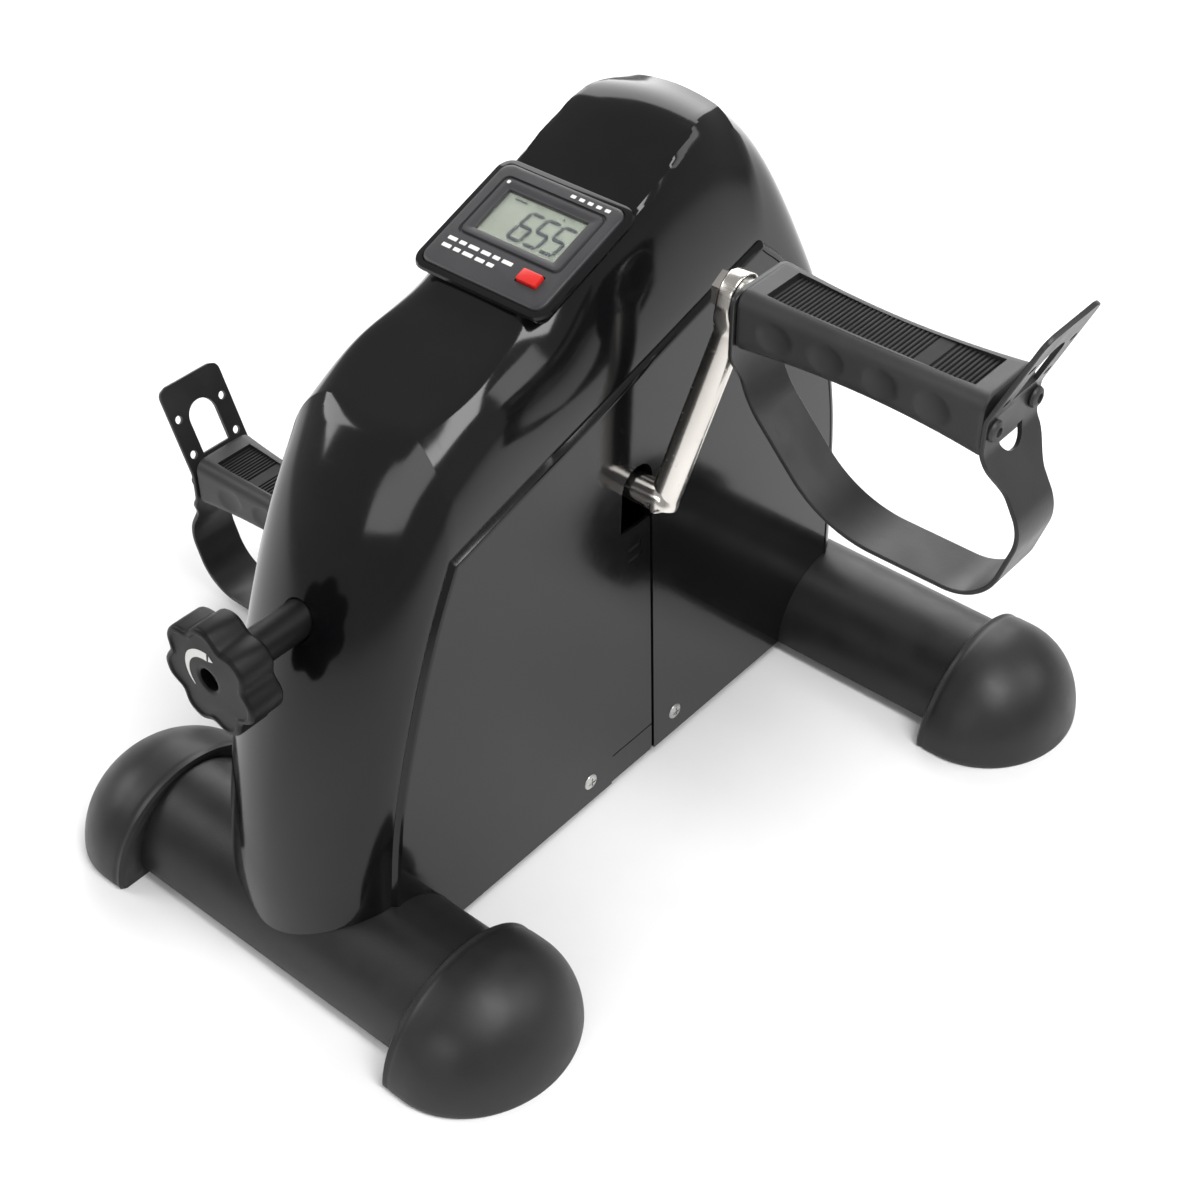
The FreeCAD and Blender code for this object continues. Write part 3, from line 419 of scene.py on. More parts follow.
# how sharply the sides turn down at the flat's edge, and how much the flat itself is arched
FOLD = [0, 0, 0, 0, 0, 0, 0.04, 0.22, 0.38, 0.40, 0.36, 0.28, 0.16, 0.05, 0, 0, 0, 0, 0]
ARCH = [0, 0, 0, 0, 0, 0, 0.2, 0.6, 0.8, 0.8, 1.2, 2.5, 3.0, 1.5, 0, 0, 0, 0, 0]
# the plane that cuts the brow, how soft its edge is, and the run over which it fades in
FACET_Y, FACET_Z, FACET_RISE, FACET_SOFT, FACET_START, FACET_FADE = -42.0, 264.0, 0.344, 1.5, -34.0, 16.0
CORNERS = (5, 12)           # entries of CROWN and RIDGE where the outline turns sharply
TABLE_SMOOTHING = 12
BAND_HALF = 44.6            # the arched band's own half width, below the panel's ledge
# (inset, depth) steps from the band down to the panel
LEDGE = ((0.5, 1.3), (1.3, 0.35), (2.1, 0.0), (3.2, 0.0), (3.7, 0.45))


def along(points, count):
    """Even stations on a smooth line through points that may turn sharply at CORNERS."""
    breaks = [0, *CORNERS, len(points) - 1]
    stations = []
    for a, b in zip(breaks, breaks[1:]):
        share = int(round((count - 1) * (b - a) / (len(points) - 1)))
        run = smooth_curve(points[a:b + 1], share + 1)
        stations.append(run if b == breaks[-1] else run[:-1])
    return np.concatenate(stations)


def housing_mesh(inset, stations=145, columns=89):
    """Arched band plus two flat sides, closed below; inset gives the hollow inside."""
    middle, edge = along(CROWN, stations), along(RIDGE, stations)
    where = np.linspace(0, len(CROWN) - 1, stations)
    flat, power, fold, arch = (np.interp(where, range(len(t)), t) for t in (FLAT, ROUND, FOLD, ARCH))
    for row in (flat, power, fold, arch):
        for _ in range(TABLE_SMOOTHING):
            row[1:-1] = (row[:-2] + row[1:-1] + row[2:]) / 3
    run = np.gradient(middle, axis=0)
    run /= np.linalg.norm(run, axis=1)[:, None]
    inward = np.column_stack([run[:, 1], -run[:, 0]])
    middle = middle + inward * inset
    edge = edge + inward * inset * 0.5
    foot = HOUSING_BOTTOM if inset == 0 else HOUSING_BOTTOM - SHELL
    middle[[0, -1], 1] = edge[[0, -1], 1] = foot
    rings = []
    for k in range(stations):
        turn = np.linspace(0, math.pi / 2, 400)
        out = np.sin(turn) ** (2 / power[k])
        drop = fold[k] * out + (1 - fold[k]) * (1 - np.cos(turn) ** (2 / power[k]))
        depth = np.linalg.norm(edge[k] - middle[k])
        crest = arch[k] / depth
        over = np.linspace(0, 1, 20, endpoint=False)
        share = np.concatenate([flat[k] * over, flat[k] + (1 - flat[k]) * out])
        drop = np.concatenate([crest * over ** 2, crest + (1 - crest) * drop])
        half = np.column_stack([(BAND_HALF - inset) * share,
                                middle[k, 0] + (edge[k, 0] - middle[k, 0]) * drop,
                                middle[k, 1] + (edge[k, 1] - middle[k, 1]) * drop])
        half = resampled(half, count=columns // 2 + 1)
        if middle[k, 0] < FACET_START:
            above = half[:, 2] - (FACET_Z - inset + FACET_RISE * (half[:, 1] - FACET_Y))
            fade = ease((FACET_START - middle[k, 0]) / FACET_FADE)
            half[:, 2] -= fade * (above + np.sqrt(above ** 2 + FACET_SOFT ** 2) - FACET_SOFT) / 2
        rings.append(np.concatenate([(half * (-1, 1, 1))[::-1], half[1:]]))
    vertices, faces = loft(rings, closed=False, cap_start=False, cap_end=False)
    vertices = [vertices]
    count = len(vertices[0])
    columns = len(rings[0])
    for side, column in ((-1, 0), (1, columns - 1)):
        border = [k * columns + column for k in range(stations)]
        if inset:
            faces.append(tuple(border))
            continue
        # the flat panel stands proud on a bevelled ledge, with a shallow step inside its rim
        previous = border
        for width, depth in LEDGE:
            moved = inset_line(edge, width)
            moved[[0, -1], 1] = foot
            ring = np.column_stack([np.full(stations, side * (HALF_WIDTH - depth)), moved])
            vertices.append(ring)
            current = list(range(count, count + stations))
            count += stations
            faces += [(previous[k], previous[k + 1], current[k + 1], current[k]) for k in range(stations - 1)]
            previous = current
        faces.append(tuple(previous))
    first = list(range(columns))
    last = list(range((stations - 1) * columns, stations * columns))
    if inset:
        faces.append(tuple(first + last[::-1]))
    else:
        ends = {}
        for side, start in ((-1, count - 2 * len(LEDGE) * stations), (1, count - len(LEDGE) * stations)):
            starts = [start + k * stations for k in range(len(LEDGE))]
            ends[side] = (starts, [k + stations - 1 for k in starts])
        loop = ends[-1][0][::-1] + first + ends[1][0] + ends[1][1][::-1] + last[::-1] + ends[-1][1]
        faces.append(tuple(loop))
    return np.concatenate(vertices), faces


def inset_line(line, width):
    """An open (y, z) line moved towards its inside."""
    run = np.gradient(line, axis=0)
    run /= np.linalg.norm(run, axis=1)[:, None]
    return line + np.column_stack([run[:, 1], -run[:, 0]]) * width


METER_SEAT = Matrix.Translation((0, METER_Y, METER_Z)) @ Matrix.Rotation(math.radians(METER_TILT), 4, "X")
METER_HALF_X, METER_HALF_Y, METER_CORNER = 32.0, 28.5, 5.0
SLOT_LOW, SLOT_TAPER, SLOT_ROUND, COVER_TOP = 16.0, 6.0, 10.0, 150.0
STEM_RADIUS, STEM_CLEARANCE = 8.0, 0.6


def on_meter(parts):
    """Mesh built flat with the meter's face at z = 0, moved to its tilted seat."""
    vertices, faces = parts
    return turned(vertices, METER_SEAT), faces


def slot_outline(margin, bottom, top):
    """The crank slot's taper as a (y, z) outline."""
    low, high = (SLOT_LOW - SLOT_TAPER * z / CRANK_Z + margin for z in (bottom, top))
    return [(CRANK_Y - low, bottom), (CRANK_Y + low, bottom), (CRANK_Y + high, top), (CRANK_Y - high, top)]


shell = solid("housing", *housing_mesh(0.0))
seat = solid("seat", *on_meter(stacked(METER_HALF_X + 3.3, METER_HALF_Y + 3.3, METER_CORNER + 2,
                                       [(-9.0, 4.0), (-5.0, 1.0), (-2.6, 0.0), (-1.4, 0.5), (-1.1, 1.4)])))
combine(shell, seat, "UNION")
combine(shell, solid("hollow", *housing_mesh(SHELL)))
combine(shell, solid("above", *on_meter(stacked(METER_HALF_X + 0.3, METER_HALF_Y + 0.3, METER_CORNER,
                                                [(-4.0, 0.0), (60.0, 0.0)]))))
combine(shell, solid("through", *on_meter(stacked(29.3, 25.8, 4.0, [(-60.0, 0.0), (0.0, 0.0)]))))
for y in (-BEAM_OFFSET, BEAM_OFFSET):
    feet = [(y + side * (BEAM_HALF_WIDTH + BEAM_FIT), -HOUSING_BOTTOM) for side in (-1, 1)]
    beam_room = np.concatenate([oval(y, BEAM_FIT)[:OVAL_STEPS], feet])
    combine(shell, solid("beam_room", *prism_x(beam_room, -2 * HALF_WIDTH, 2 * HALF_WIDTH)))
slot_room = slot_outline(0.0, 0.0, CRANK_Z)[:2]
arc = np.linspace(0, math.pi, 25)
slot_room += [(CRANK_Y + SLOT_ROUND * math.cos(a), CRANK_Z + SLOT_ROUND * math.sin(a)) for a in arc]
combine(shell, solid("slot_room", *prism_x(slot_room, -2 * HALF_WIDTH, 2 * HALF_WIDTH)))
v, f = lathe([(0, STEM_RADIUS + STEM_CLEARANCE), (60, STEM_RADIUS + STEM_CLEARANCE)])
combine(shell, solid("stem_room", turned(v, aimed((0, -190, CRANK_Z), (0, 1, 0))), f))
finish_piece(shell, GLOSS, "root", "housing_shell", 24)

# marks sunk into each slot cover: (half width, low, high)
COVER_MARKS = ((4.5, 138, 141), (4.5, 132, 134.4), (20, 22.0, 22.7))


def slot_cover(side, name):
    """Tapered cover with a bevelled border, two latch marks and a lower break line."""
    rings = []
    for x, margin in ((44.4, 0.3), (45.3, 0.3), (45.8, 0.9)):
        outline = slot_outline(-margin, HOUSING_BOTTOM, COVER_TOP)
        outline = resampled(np.array(outline + outline[:1], float), count=121)[:-1]
        rings.append(np.column_stack([np.full(len(outline), side * x), outline]))
    cover = solid(name + "_cover", *loft(rings))
    for half, low, high in COVER_MARKS:
        mark = [(CRANK_Y - half, low), (CRANK_Y + half, low), (CRANK_Y + half, high), (CRANK_Y - half, high)]
        combine(cover, solid("mark", *prism_x(mark, side * 45.2, side * 50)))
    finish_piece(cover, GLOSS, "root", name + "_slot_cover")


for side, name in ((-1, "left"), (1, "right")):
    slot_cover(side, name)

# ------------------------------------------------------------------ housing screws
SCREW_OFFSET, SCREW_Z = 31.0, 19.0
SCREW_HEAD = [(-2.2, 2.0), (-0.1, 2.0), (-0.1, 4.0), (0.5, 4.15), (1.1, 3.9), (1.6, 3.1), (1.9, 1.6)]
heads, crosses = [], []
for side in (-1, 1):
    for y in (CRANK_Y - SCREW_OFFSET, CRANK_Y + SCREW_OFFSET):
        v, f = lathe(SCREW_HEAD, 40)
        heads.append((turned(v, aimed((side * 45.8, y, SCREW_Z), (side, 0, 0))), f))
        for half_y, half_z in ((2.4, 0.5), (0.5, 2.4)):
            crosses.append(prism_x([(y - half_y, SCREW_Z - half_z), (y + half_y, SCREW_Z - half_z),
                                    (y + half_y, SCREW_Z + half_z), (y - half_y, SCREW_Z + half_z)],
                                   side * 46.9, side * 49))
screws = solid("side_screws", *merged(heads))
for cross in crosses:
    combine(screws, solid("cross", *cross))
finish_piece(screws, ZINC, "root", "housing_screws")

# ------------------------------------------------------------------ crank
CRANK_RADIUS, ROD_RADIUS, ARM_X, ELBOW = 96.0, 6.5, 74.0, 14.0
EYE_RADIUS, EYE_HALF_THICK, FLAT_RUN = 10.0, 4.0, 17.0
LEAN_ANGLE = math.radians(16.5)
ARM = np.array([0, math.sin(LEAN_ANGLE), math.cos(LEAN_ANGLE)])
HUB = np.array([0, CRANK_Y, CRANK_Z])
ACROSS = np.array([1.0, 0, 0])
EYE = {1: HUB + ACROSS * ARM_X + ARM * CRANK_RADIUS, -1: HUB - ACROSS * ARM_X - ARM * CRANK_RADIUS}


def crank_piece():
    """One bent rod whose ends are pressed flat and rounded."""
    route = path_with_arcs([HUB - ACROSS * ARM_X - ARM * (CRANK_RADIUS - FLAT_RUN), HUB - ACROSS * ARM_X,
                            HUB + ACROSS * ARM_X, HUB + ACROSS * ARM_X + ARM * (CRANK_RADIUS - FLAT_RUN)],
                           [ELBOW, ELBOW], 2.0)
    wide = np.cross(ACROSS, ARM)
    angle = np.linspace(0, 2 * math.pi, 40, endpoint=False)

    def ring(centre, heading, half_wide, half_thick, square):
        thin = np.cross(wide, heading)
        c, s = np.cos(angle), np.sin(angle)
        a = np.sign(c) * np.abs(c) ** (2 / square) * half_wide
        b = np.sign(s) * np.abs(s) ** (2 / square) * half_thick
        return centre + np.outer(a, wide) + np.outer(b, thin)

    def flattened(eye, outward):
        rings = []
        for d in np.linspace(-FLAT_RUN, EYE_RADIUS - 0.02, 44):
            w = ease((d + FLAT_RUN) / 13.0)
            half_wide = ROD_RADIUS + (EYE_RADIUS - ROD_RADIUS) * w
            half_thick = ROD_RADIUS + (EYE_HALF_THICK - ROD_RADIUS) * w
            if d > 0:
                half_wide = math.sqrt(EYE_RADIUS**2 - d * d)
                half_thick = EYE_HALF_THICK * min(1.0, (EYE_RADIUS - d) / 1.2 + 0.65)
            rings.append((eye + outward * d, half_wide, half_thick, 2 + 5 * w))
        return rings

    rings = [ring(c, ARM, a, b, q) for c, a, b, q in flattened(EYE[-1], -ARM)[::-1]]
    heading = np.gradient(route, axis=0)
    heading /= np.linalg.norm(heading, axis=1)[:, None]
    rings += [ring(c, h, ROD_RADIUS, ROD_RADIUS, 2) for c, h in zip(route[1:-1], heading[1:-1])]
    rings += [ring(c, ARM, a, b, q) for c, a, b, q in flattened(EYE[1], ARM)]
    piece("crank_rod", *loft(rings), PLATED, "crank", "crank", "plated_rod", 40)


crank_piece()

# ------------------------------------------------------------------ pedals
PEDAL_START, PEDAL_LENGTH = 86.0, 111.0
PEDAL_END = PEDAL_START + PEDAL_LENGTH
TREAD_HALF, TREAD_MARGIN, TREAD_FLOOR, TREAD_TOP = 10.5, 9.0, 8.6, 11.3
PEDAL_CORNER, PEDAL_EDGE, DIMPLE_DEPTH = 6.0, 1.6, 1.1
DIMPLES = [PEDAL_START + share * PEDAL_LENGTH for share in (0.16, 0.37, 0.59, 0.80)]


def pedal_halves(x):
    """Half width and half height of the pedal at x: waisted in the middle."""
    s = (2 * (x - PEDAL_START) / PEDAL_LENGTH - 1) ** 2
    return 15.5 + 2.5 * s, 11.5 + 2.0 * s


def pedal_mesh():
    """Pedal block with a pocket for its tread and shallow dimples along both sides."""
    rings = []
    x0, x1 = PEDAL_START + TREAD_MARGIN, PEDAL_END - TREAD_MARGIN
    stations = [PEDAL_START, PEDAL_START + 0.4, PEDAL_START + 1.2, PEDAL_START + 2.4]
    stations += list(np.linspace(PEDAL_START + 4, x0 - 0.06, 4)) + list(np.linspace(x0, x1, 75))
    stations += list(np.linspace(x1 + 0.06, PEDAL_END - 4, 4))
    stations += [PEDAL_END - 2.4, PEDAL_END - 1.2, PEDAL_END - 0.4, PEDAL_END]
    for x in stations:
        half_y, half_z = pedal_halves(x)
        edge = min(x - PEDAL_START, PEDAL_END - x)
        round_off = 0.0
        if edge < PEDAL_EDGE:
            round_off = PEDAL_EDGE - math.sqrt(max(PEDAL_EDGE**2 - (PEDAL_EDGE - edge) ** 2, 0))
        outline = []
        corner = PEDAL_CORNER
        pocket = x0 - 0.01 <= x <= x1 + 0.01
        floor = TREAD_FLOOR - 0.1 if pocket else half_z - round_off
        h, w = half_z - round_off, half_y - round_off
        lip = TREAD_HALF + 0.15
        side_z = np.linspace(-(h - corner), h - corner, 13)
        for quarter, (sy, sz) in enumerate(((1, 1), (-1, 1), (-1, -1), (1, -1))):
            if quarter == 1:
                outline += [(lip, h), (lip, floor), (-lip, floor), (-lip, h)]
            if quarter == 2:
                outline += [(-w, z) for z in side_z[::-1][1:-1]]
            if quarter == 3:
                outline += [(y, -h) for y in np.linspace(-(w - corner), w - corner, 9)[1:-1]]
            for k in range(9):
                a = math.pi / 2 * (quarter + k / 8)
                outline.append((sy * (w - corner) + corner * math.cos(a),
                                sz * (h - corner) + corner * math.sin(a)))
        outline += [(w, z) for z in side_z[1:-1]]
        ring = np.array([(x, y, z) for y, z in outline])
        for centre in DIMPLES:
            for sign in (-1, 1):
                r2 = ((ring[:, 0] - centre) / 7.5) ** 2 + ((ring[:, 2] + 0.5) / 6.5) ** 2
                on_side = (np.sign(ring[:, 1]) == sign) & (np.abs(ring[:, 1]) > lip + 1)
                dent = DIMPLE_DEPTH * np.clip(1 - r2, 0, 1) ** 0.6
                ring[:, 1] -= sign * np.where(on_side & (r2 < 1), dent, 0)
        rings.append(ring)
    return loft(rings)


RIB_PITCH = 2.0


def tread_mesh():
    """Cross ribs with a plain block nearer the outer end."""
    x0, x1 = PEDAL_START + TREAD_MARGIN, PEDAL_END - TREAD_MARGIN
    block = [x0 + share * (x1 - x0) for share in (0.70, 0.78)]
    profile = [(x0, TREAD_FLOOR), (x0, TREAD_TOP - 0.9)]
    x = x0 + 1.2
    while x < x1 - 1.2:
        if block[0] - 0.8 < x < block[1] + 0.8:
            profile += [(block[0], TREAD_TOP - 0.9), (block[0] + 0.3, TREAD_TOP - 0.05),
                        (block[1] - 0.3, TREAD_TOP - 0.05), (block[1], TREAD_TOP - 0.9)]
            x = block[1] + 0.9
            continue
        profile += [(x, TREAD_TOP - 0.9), (x + 0.25, TREAD_TOP - 0.1), (x + 0.5, TREAD_TOP),
                    (x + 0.95, TREAD_TOP), (x + 1.2, TREAD_TOP - 0.1), (x + 1.45, TREAD_TOP - 0.9)]
        x += RIB_PITCH
    profile += [(x1, TREAD_TOP - 0.9), (x1, TREAD_FLOOR)]
    profile = np.array(profile)
    return loft([np.column_stack([profile[:, 0], np.full(len(profile), y), profile[:, 1]])
                 for y in (-TREAD_HALF, TREAD_HALF)])


# ------------------------------------------------------------------ straps
STRAP_HALF, PAD_HALF, THICK = 13.0, 19.0, 2.0
STRAP_INSIDE = PEDAL_START - 0.2 - THICK
PAD_X = PEDAL_END + 0.2
STUD_Y, STUD_HOLE, SPARE_HOLE = 14.0, 2.45, 2.1
AXLE_HOLE_AT, AXLE_HOLE = 17.2 - 5.3, 5.4
STRAP_DEPTH = {1: 82.0, -1: 75.0}       # the left loop is stopped by the floor
STRAP_TOP, STRAP_DROP, STRAP_TURN_X, STRAP_SHOULDER = 12.0, 32.0, 130.0, 14.0
STRAP_BELLY, STRAP_BELLY_Z, STRAP_CORNER = 18.0, 42.0, 5.0
FREE_REACH, FREE_TOP, BEND_LOW, BEND_HIGH = 18.5, 46.8, 9.6, 4.8
STRAP_RADII = [45, 55, 24, 20, 8, 8]     # bends from the inner side to the free end
STUD_PROFILE = [(-8.0, 2.3), (2.35, 2.3), (2.4, 4.2), (3.2, 4.4), (4.2, 3.9), (4.8, 2.8), (4.9, 2.0),
                (3.9, 1.9), (3.8, 0.05)]


def strap_mesh(side):
    """The strap cut flat with its holes, then bent along its hanging line."""
    inner_x, outer_x = STRAP_INSIDE + THICK / 2, PAD_X + THICK / 2
    low = THICK / 2 - STRAP_DEPTH[side]
    route = path_with_arcs([(inner_x, 0, STRAP_TOP), (inner_x, 0, -STRAP_DROP), (STRAP_TURN_X, 0, low),
                            (outer_x + STRAP_BELLY / 3, 0, low), (outer_x + STRAP_BELLY, 0, -STRAP_BELLY_Z),
                            (outer_x, 0, -BEND_LOW), (outer_x, 0, BEND_HIGH),
                            (outer_x + FREE_REACH, 0, FREE_TOP)], STRAP_RADII, 0.8)
    lengths = np.concatenate([[0], np.cumsum(np.linalg.norm(np.diff(route, axis=0), axis=1))])
    total = lengths[-1]
    stud_at = lengths[np.argmin(np.abs(route[:, 2]) + np.where(route[:, 0] > 190, 0, 999))]
    shoulder_in = STRAP_TOP + STRAP_SHOULDER
    rings = []
    for s in np.linspace(0, total, int(total / 1.2)):
        narrow = ease((s - shoulder_in) / 16.0) * ease((stud_at - 13 - s) / 18.0)
        half = PAD_HALF + (STRAP_HALF - PAD_HALF) * narrow
        for near in (s, total - s):
            if near < STRAP_CORNER:
                half -= STRAP_CORNER - math.sqrt(max(STRAP_CORNER**2 - (STRAP_CORNER - near) ** 2, 0.0))
        t = THICK / 2
        across = np.linspace(-half + 0.5, half - 0.5, 15)
        ring = [(s, w, -t) for w in across] + [(s, half - 0.1, -t + 0.35), (s, half - 0.1, t - 0.35)]
        ring += [(s, w, t) for w in across[::-1]] + [(s, -half + 0.1, t - 0.35), (s, -half + 0.1, -t + 0.35)]
        rings.append(ring)
    flat = solid("strap", *loft(rings))

    def punch(points):
        points = np.asarray(points, float)
        cut = loft([np.column_stack([points, np.full(len(points), h)]) for h in (-4, 4)])
        combine(flat, solid("punch", *cut))

    def hole(s, y, radius):
        circle = np.linspace(0, 2 * math.pi, 28, endpoint=False)
        punch([(s + radius * math.cos(a), y + radius * math.sin(a)) for a in circle])

    for y in (-STUD_Y, STUD_Y):
        hole(stud_at, y, STUD_HOLE)
        for further in (14.0, 33.0):
            hole(stud_at + further, y, SPARE_HOLE)
    hole(AXLE_HOLE_AT, 0.0, AXLE_HOLE)
    arch = np.linspace(-math.pi / 2, math.pi / 2, 21)
    # the window below the studs, and the wider one in the free end
    punch([(stud_at - 7.5 - 8.5 * math.cos(a), 8.0 * math.sin(a)) for a in arch])
    punch([(stud_at + 12.0, -8.5), *[(stud_at + 29.0 + 8.5 * math.cos(a), 8.5 * math.sin(a)) for a in arch],
           (stud_at + 12.0, 8.5)])
    points = np.array([v.co for v in flat.data.vertices]) / MM
    heading = np.gradient(route, axis=0)
    heading /= np.linalg.norm(heading, axis=1)[:, None]
    centre = np.column_stack([np.interp(points[:, 0], lengths, route[:, k]) for k in range(3)])
    turn = np.column_stack([np.interp(points[:, 0], lengths, heading[:, k]) for k in range(3)])
    turn /= np.linalg.norm(turn, axis=1)[:, None]
    normal = np.column_stack([turn[:, 2], np.zeros(len(turn)), -turn[:, 0]])
    bent = centre + normal * points[:, 2:3]
    bent[:, 1] += points[:, 1]
    return flat, bent


def stud_mesh():
    """The two hollow-headed studs that hold the strap's outer end."""
    parts = []
    for y in (-STUD_Y, STUD_Y):
        v, f = lathe(STUD_PROFILE, 36)
        parts.append((turned(v, aimed((PEDAL_END, y, 0), (1, 0, 0))), f))
    return merged(parts)


def at_eye(vertices, side):
    """Points built about the axle line, moved to one crank eye."""
    moved = np.asarray(vertices, float) * (side, 1, 1)
    return moved + (0, EYE[side][1], EYE[side][2])


for side, name in ((1, "right"), (-1, "left")):
    body = name + "_pedal"
    v, f = pedal_mesh()
    piece(name + "_pedal_block", at_eye(v, side), f, PLASTIC, body, name + "_pedal", "matte_black", 32)
    v, f = tread_mesh()
    piece(name + "_tread_ribs", at_eye(v, side), f, TREAD, body, name + "_tread", "black_rubber", 25)
    v, f = stud_mesh()
    piece(name + "_stud_heads", at_eye(v, side), f, PLASTIC, body, name + "_strap_studs", "matte_black", 30)
    strap, bent = strap_mesh(side)
    strap.name = name + "_foot_strap"
    strap.data.vertices.foreach_set("co", (at_eye(bent, side) * MM).ravel())
    finish_piece(strap, VINYL, body, name + "_strap", 40)

# ------------------------------------------------------------------ tension knob
KNOB_Y, KNOB_THICKNESS, KNOB_RADIUS, LOBES, LOBE_DEPTH = -194.0, 17.0, 25.0, 7, 3.6


def knob_mesh():
    """Star knob with a recessed face, a hole in its middle and a stem behind it."""
    angle = np.linspace(0, 2 * math.pi, 224, endpoint=False)
    lobed = KNOB_RADIUS - LOBE_DEPTH * (0.5 - 0.5 * np.cos(LOBES * angle)) ** 1.5

    def ring(depth, radius):
        r = radius + np.zeros(len(angle))
        y = np.full(len(angle), KNOB_Y + depth)
        return np.column_stack([r * np.sin(angle), y, CRANK_Z + r * np.cos(angle)])

    back = KNOB_THICKNESS
    face = ((5.0, 0.05), (5.0, 4.8), (1.3, 5.0), (0.75, 5.6), (0.7, 7.0), (0.7, 10.5), (0.7, 14.5))
    rim = ((0.7, 4.2), (0.65, 3.2), (0.0, 2.5), (0.0, 1.6), (0.35, 0.7), (1.1, 0.15), (2.0, 0.0), (8.0, 0.0),
           (back - 2.2, 0.1), (back - 1.2, 0.5), (back - 0.4, 1.3), (back, 2.4))
    stem = ((back, 12.0), (back + 0.4, 9.6), (back + 2, STEM_RADIUS + 0.4), (back + 7, STEM_RADIUS),
            (69.8, STEM_RADIUS), (69.8, 4.2))
    rings = [ring(depth, radius) for depth, radius in face]
    rings += [ring(depth, lobed - shrink) for depth, shrink in rim]
    rings += [ring(depth, radius) for depth, radius in stem]
    return loft(rings)


v, f = knob_mesh()
piece("star_knob", v, f, KNOB, "tension_knob", "tension_knob", "matte_black", 42)

# white mark on the knob's face: an arc that widens clockwise and ends in a small arrowhead
MARK_RADIUS, TIP_RADIUS = 10.4, 12.4
arc = np.radians(np.linspace(-128, 6, 60))
width = np.interp(np.arange(60), [0, 35, 59], [0.25, 3.2, 3.9])
outer = np.column_stack([(MARK_RADIUS + width) * np.sin(arc), (MARK_RADIUS + width) * np.cos(arc)])
inner = np.column_stack([MARK_RADIUS * np.sin(arc), MARK_RADIUS * np.cos(arc)])
tip = [(TIP_RADIUS * math.sin(math.radians(a)) * r, TIP_RADIUS * math.cos(math.radians(a)) * r)
       for a, r in ((11, 1.12), (22, 1.0), (11, 0.88))]
marks = []
for outline in (np.concatenate([outer, inner[::-1]]), np.array(tip)):
    marks.append(loft([np.column_stack([outline[:, 0], np.full(len(outline), KNOB_Y + depth),
                                        CRANK_Z + outline[:, 1]]) for depth in (0.9, 0.55)]))
piece("knob_mark", *merged(marks), PAINT, "tension_knob", None, "matte_black", 30)

# ------------------------------------------------------------------ meter
BEZEL_MID, LCD_MID = 6.0, 5.5               # heights of the bezel's and the display's middle
BUTTON_AT = (18.0, -17.0)
GLASS_HALF, WINDOW_HALF = (20.4, 10.9), (20.3, 10.8)
INK_LOW, INK_HIGH, TICK_LEVELS = -1.95, -1.82, [(-0.2, 0), (0.05, 0)]
TICK_LENGTHS, TICK_GAP = (4.6, 3.4, 5.2), 1.5


def meter_case():
    """Meter housing with a raised bezel and its display opening, its inner edge closed."""

    def ring(half_x, half_y, corner, z, mid=0.0):
        outline = rounded_outline(half_x, half_y, corner, 6, (0, mid))
        return np.column_stack([outline, np.full(len(outline), z)])

    rings = [ring(27, 23.5, 2, -6), ring(27, 23.5, 2, -15), ring(29, 25.5, 4, -15), ring(29, 25.5, 4, -4.4),
             ring(31.6, 28.1, 4.8, -4), ring(32, 28.5, 5, -3.6), ring(32, 28.5, 5, -1.2),
             ring(31.7, 28.2, 4.8, -0.45), ring(31.0, 27.5, 4.4, -0.08), ring(30.2, 26.7, 4.0, 0.0),
             ring(26.9, 16.8, 3.2, 0.0, BEZEL_MID), ring(26.6, 16.5, 3.0, -0.9, BEZEL_MID),
             ring(25.9, 15.8, 2.6, -0.9, BEZEL_MID), ring(25.4, 15.3, 2.4, 0.1, BEZEL_MID),
             ring(24.9, 14.8, 2.2, 0.15, BEZEL_MID),
             ring(21.6, 12.1, 0.9, 0.05, LCD_MID), ring(20.9, 11.4, 0.6, -0.35, LCD_MID),
             ring(20.5, 11.0, 0.4, -2.2, LCD_MID)]
    case = solid("meter_frame", *on_meter(loft(rings, cap_start=True, cap_end=False)))
    work = bmesh.new()
    work.from_mesh(case.data)
    bmesh.ops.holes_fill(work, edges=work.edges)
    work.to_mesh(case.data)
    work.free()
    return case


case = meter_case()
button_room = stacked(5.5, 3.5, 0.6, [(-3.6, 0), (1.0, 0)], BUTTON_AT)
combine(case, solid("button_room", *on_meter(button_room)))
finish_piece(case, METER, "root", "meter_case", 30)

v, f = on_meter(stacked(5.0, 3.0, 0.7, [(-2.4, 0), (1.0, 0), (1.45, 0.2), (1.6, 0.6)], BUTTON_AT))
piece("mode_button", v, f, RED, "meter_button", "meter_button", "button_red", 30)
v, f = on_meter(stacked(*GLASS_HALF, 0.4, [(-2.6, 0), (-1.9, 0)], (0, LCD_MID)))
piece("lcd_glass", v, f, LCD, "root", "lcd_panel", "lcd_green", 30)
v, f = on_meter(stacked(*WINDOW_HALF, 0.4, [(-1.2, 0), (-0.7, 0)], (0, LCD_MID)))
piece("display_window", v, f, GLASS, "root", "meter_window", "meter_glass", 30)


def bar(start, end, half):
    """A thin stroke of ink between two points of the display, with pointed ends."""
    a, b = np.array(start), np.array(end)
    along_it = (b - a) / np.linalg.norm(b - a)
    side = np.array([-along_it[1], along_it[0]]) * half
    tip = along_it * half
    outline = np.array([a, a + tip + side, b - tip + side, b, b - tip - side, a + tip - side])
    return loft([np.column_stack([outline, np.full(len(outline), z)]) for z in (INK_LOW, INK_HIGH)])


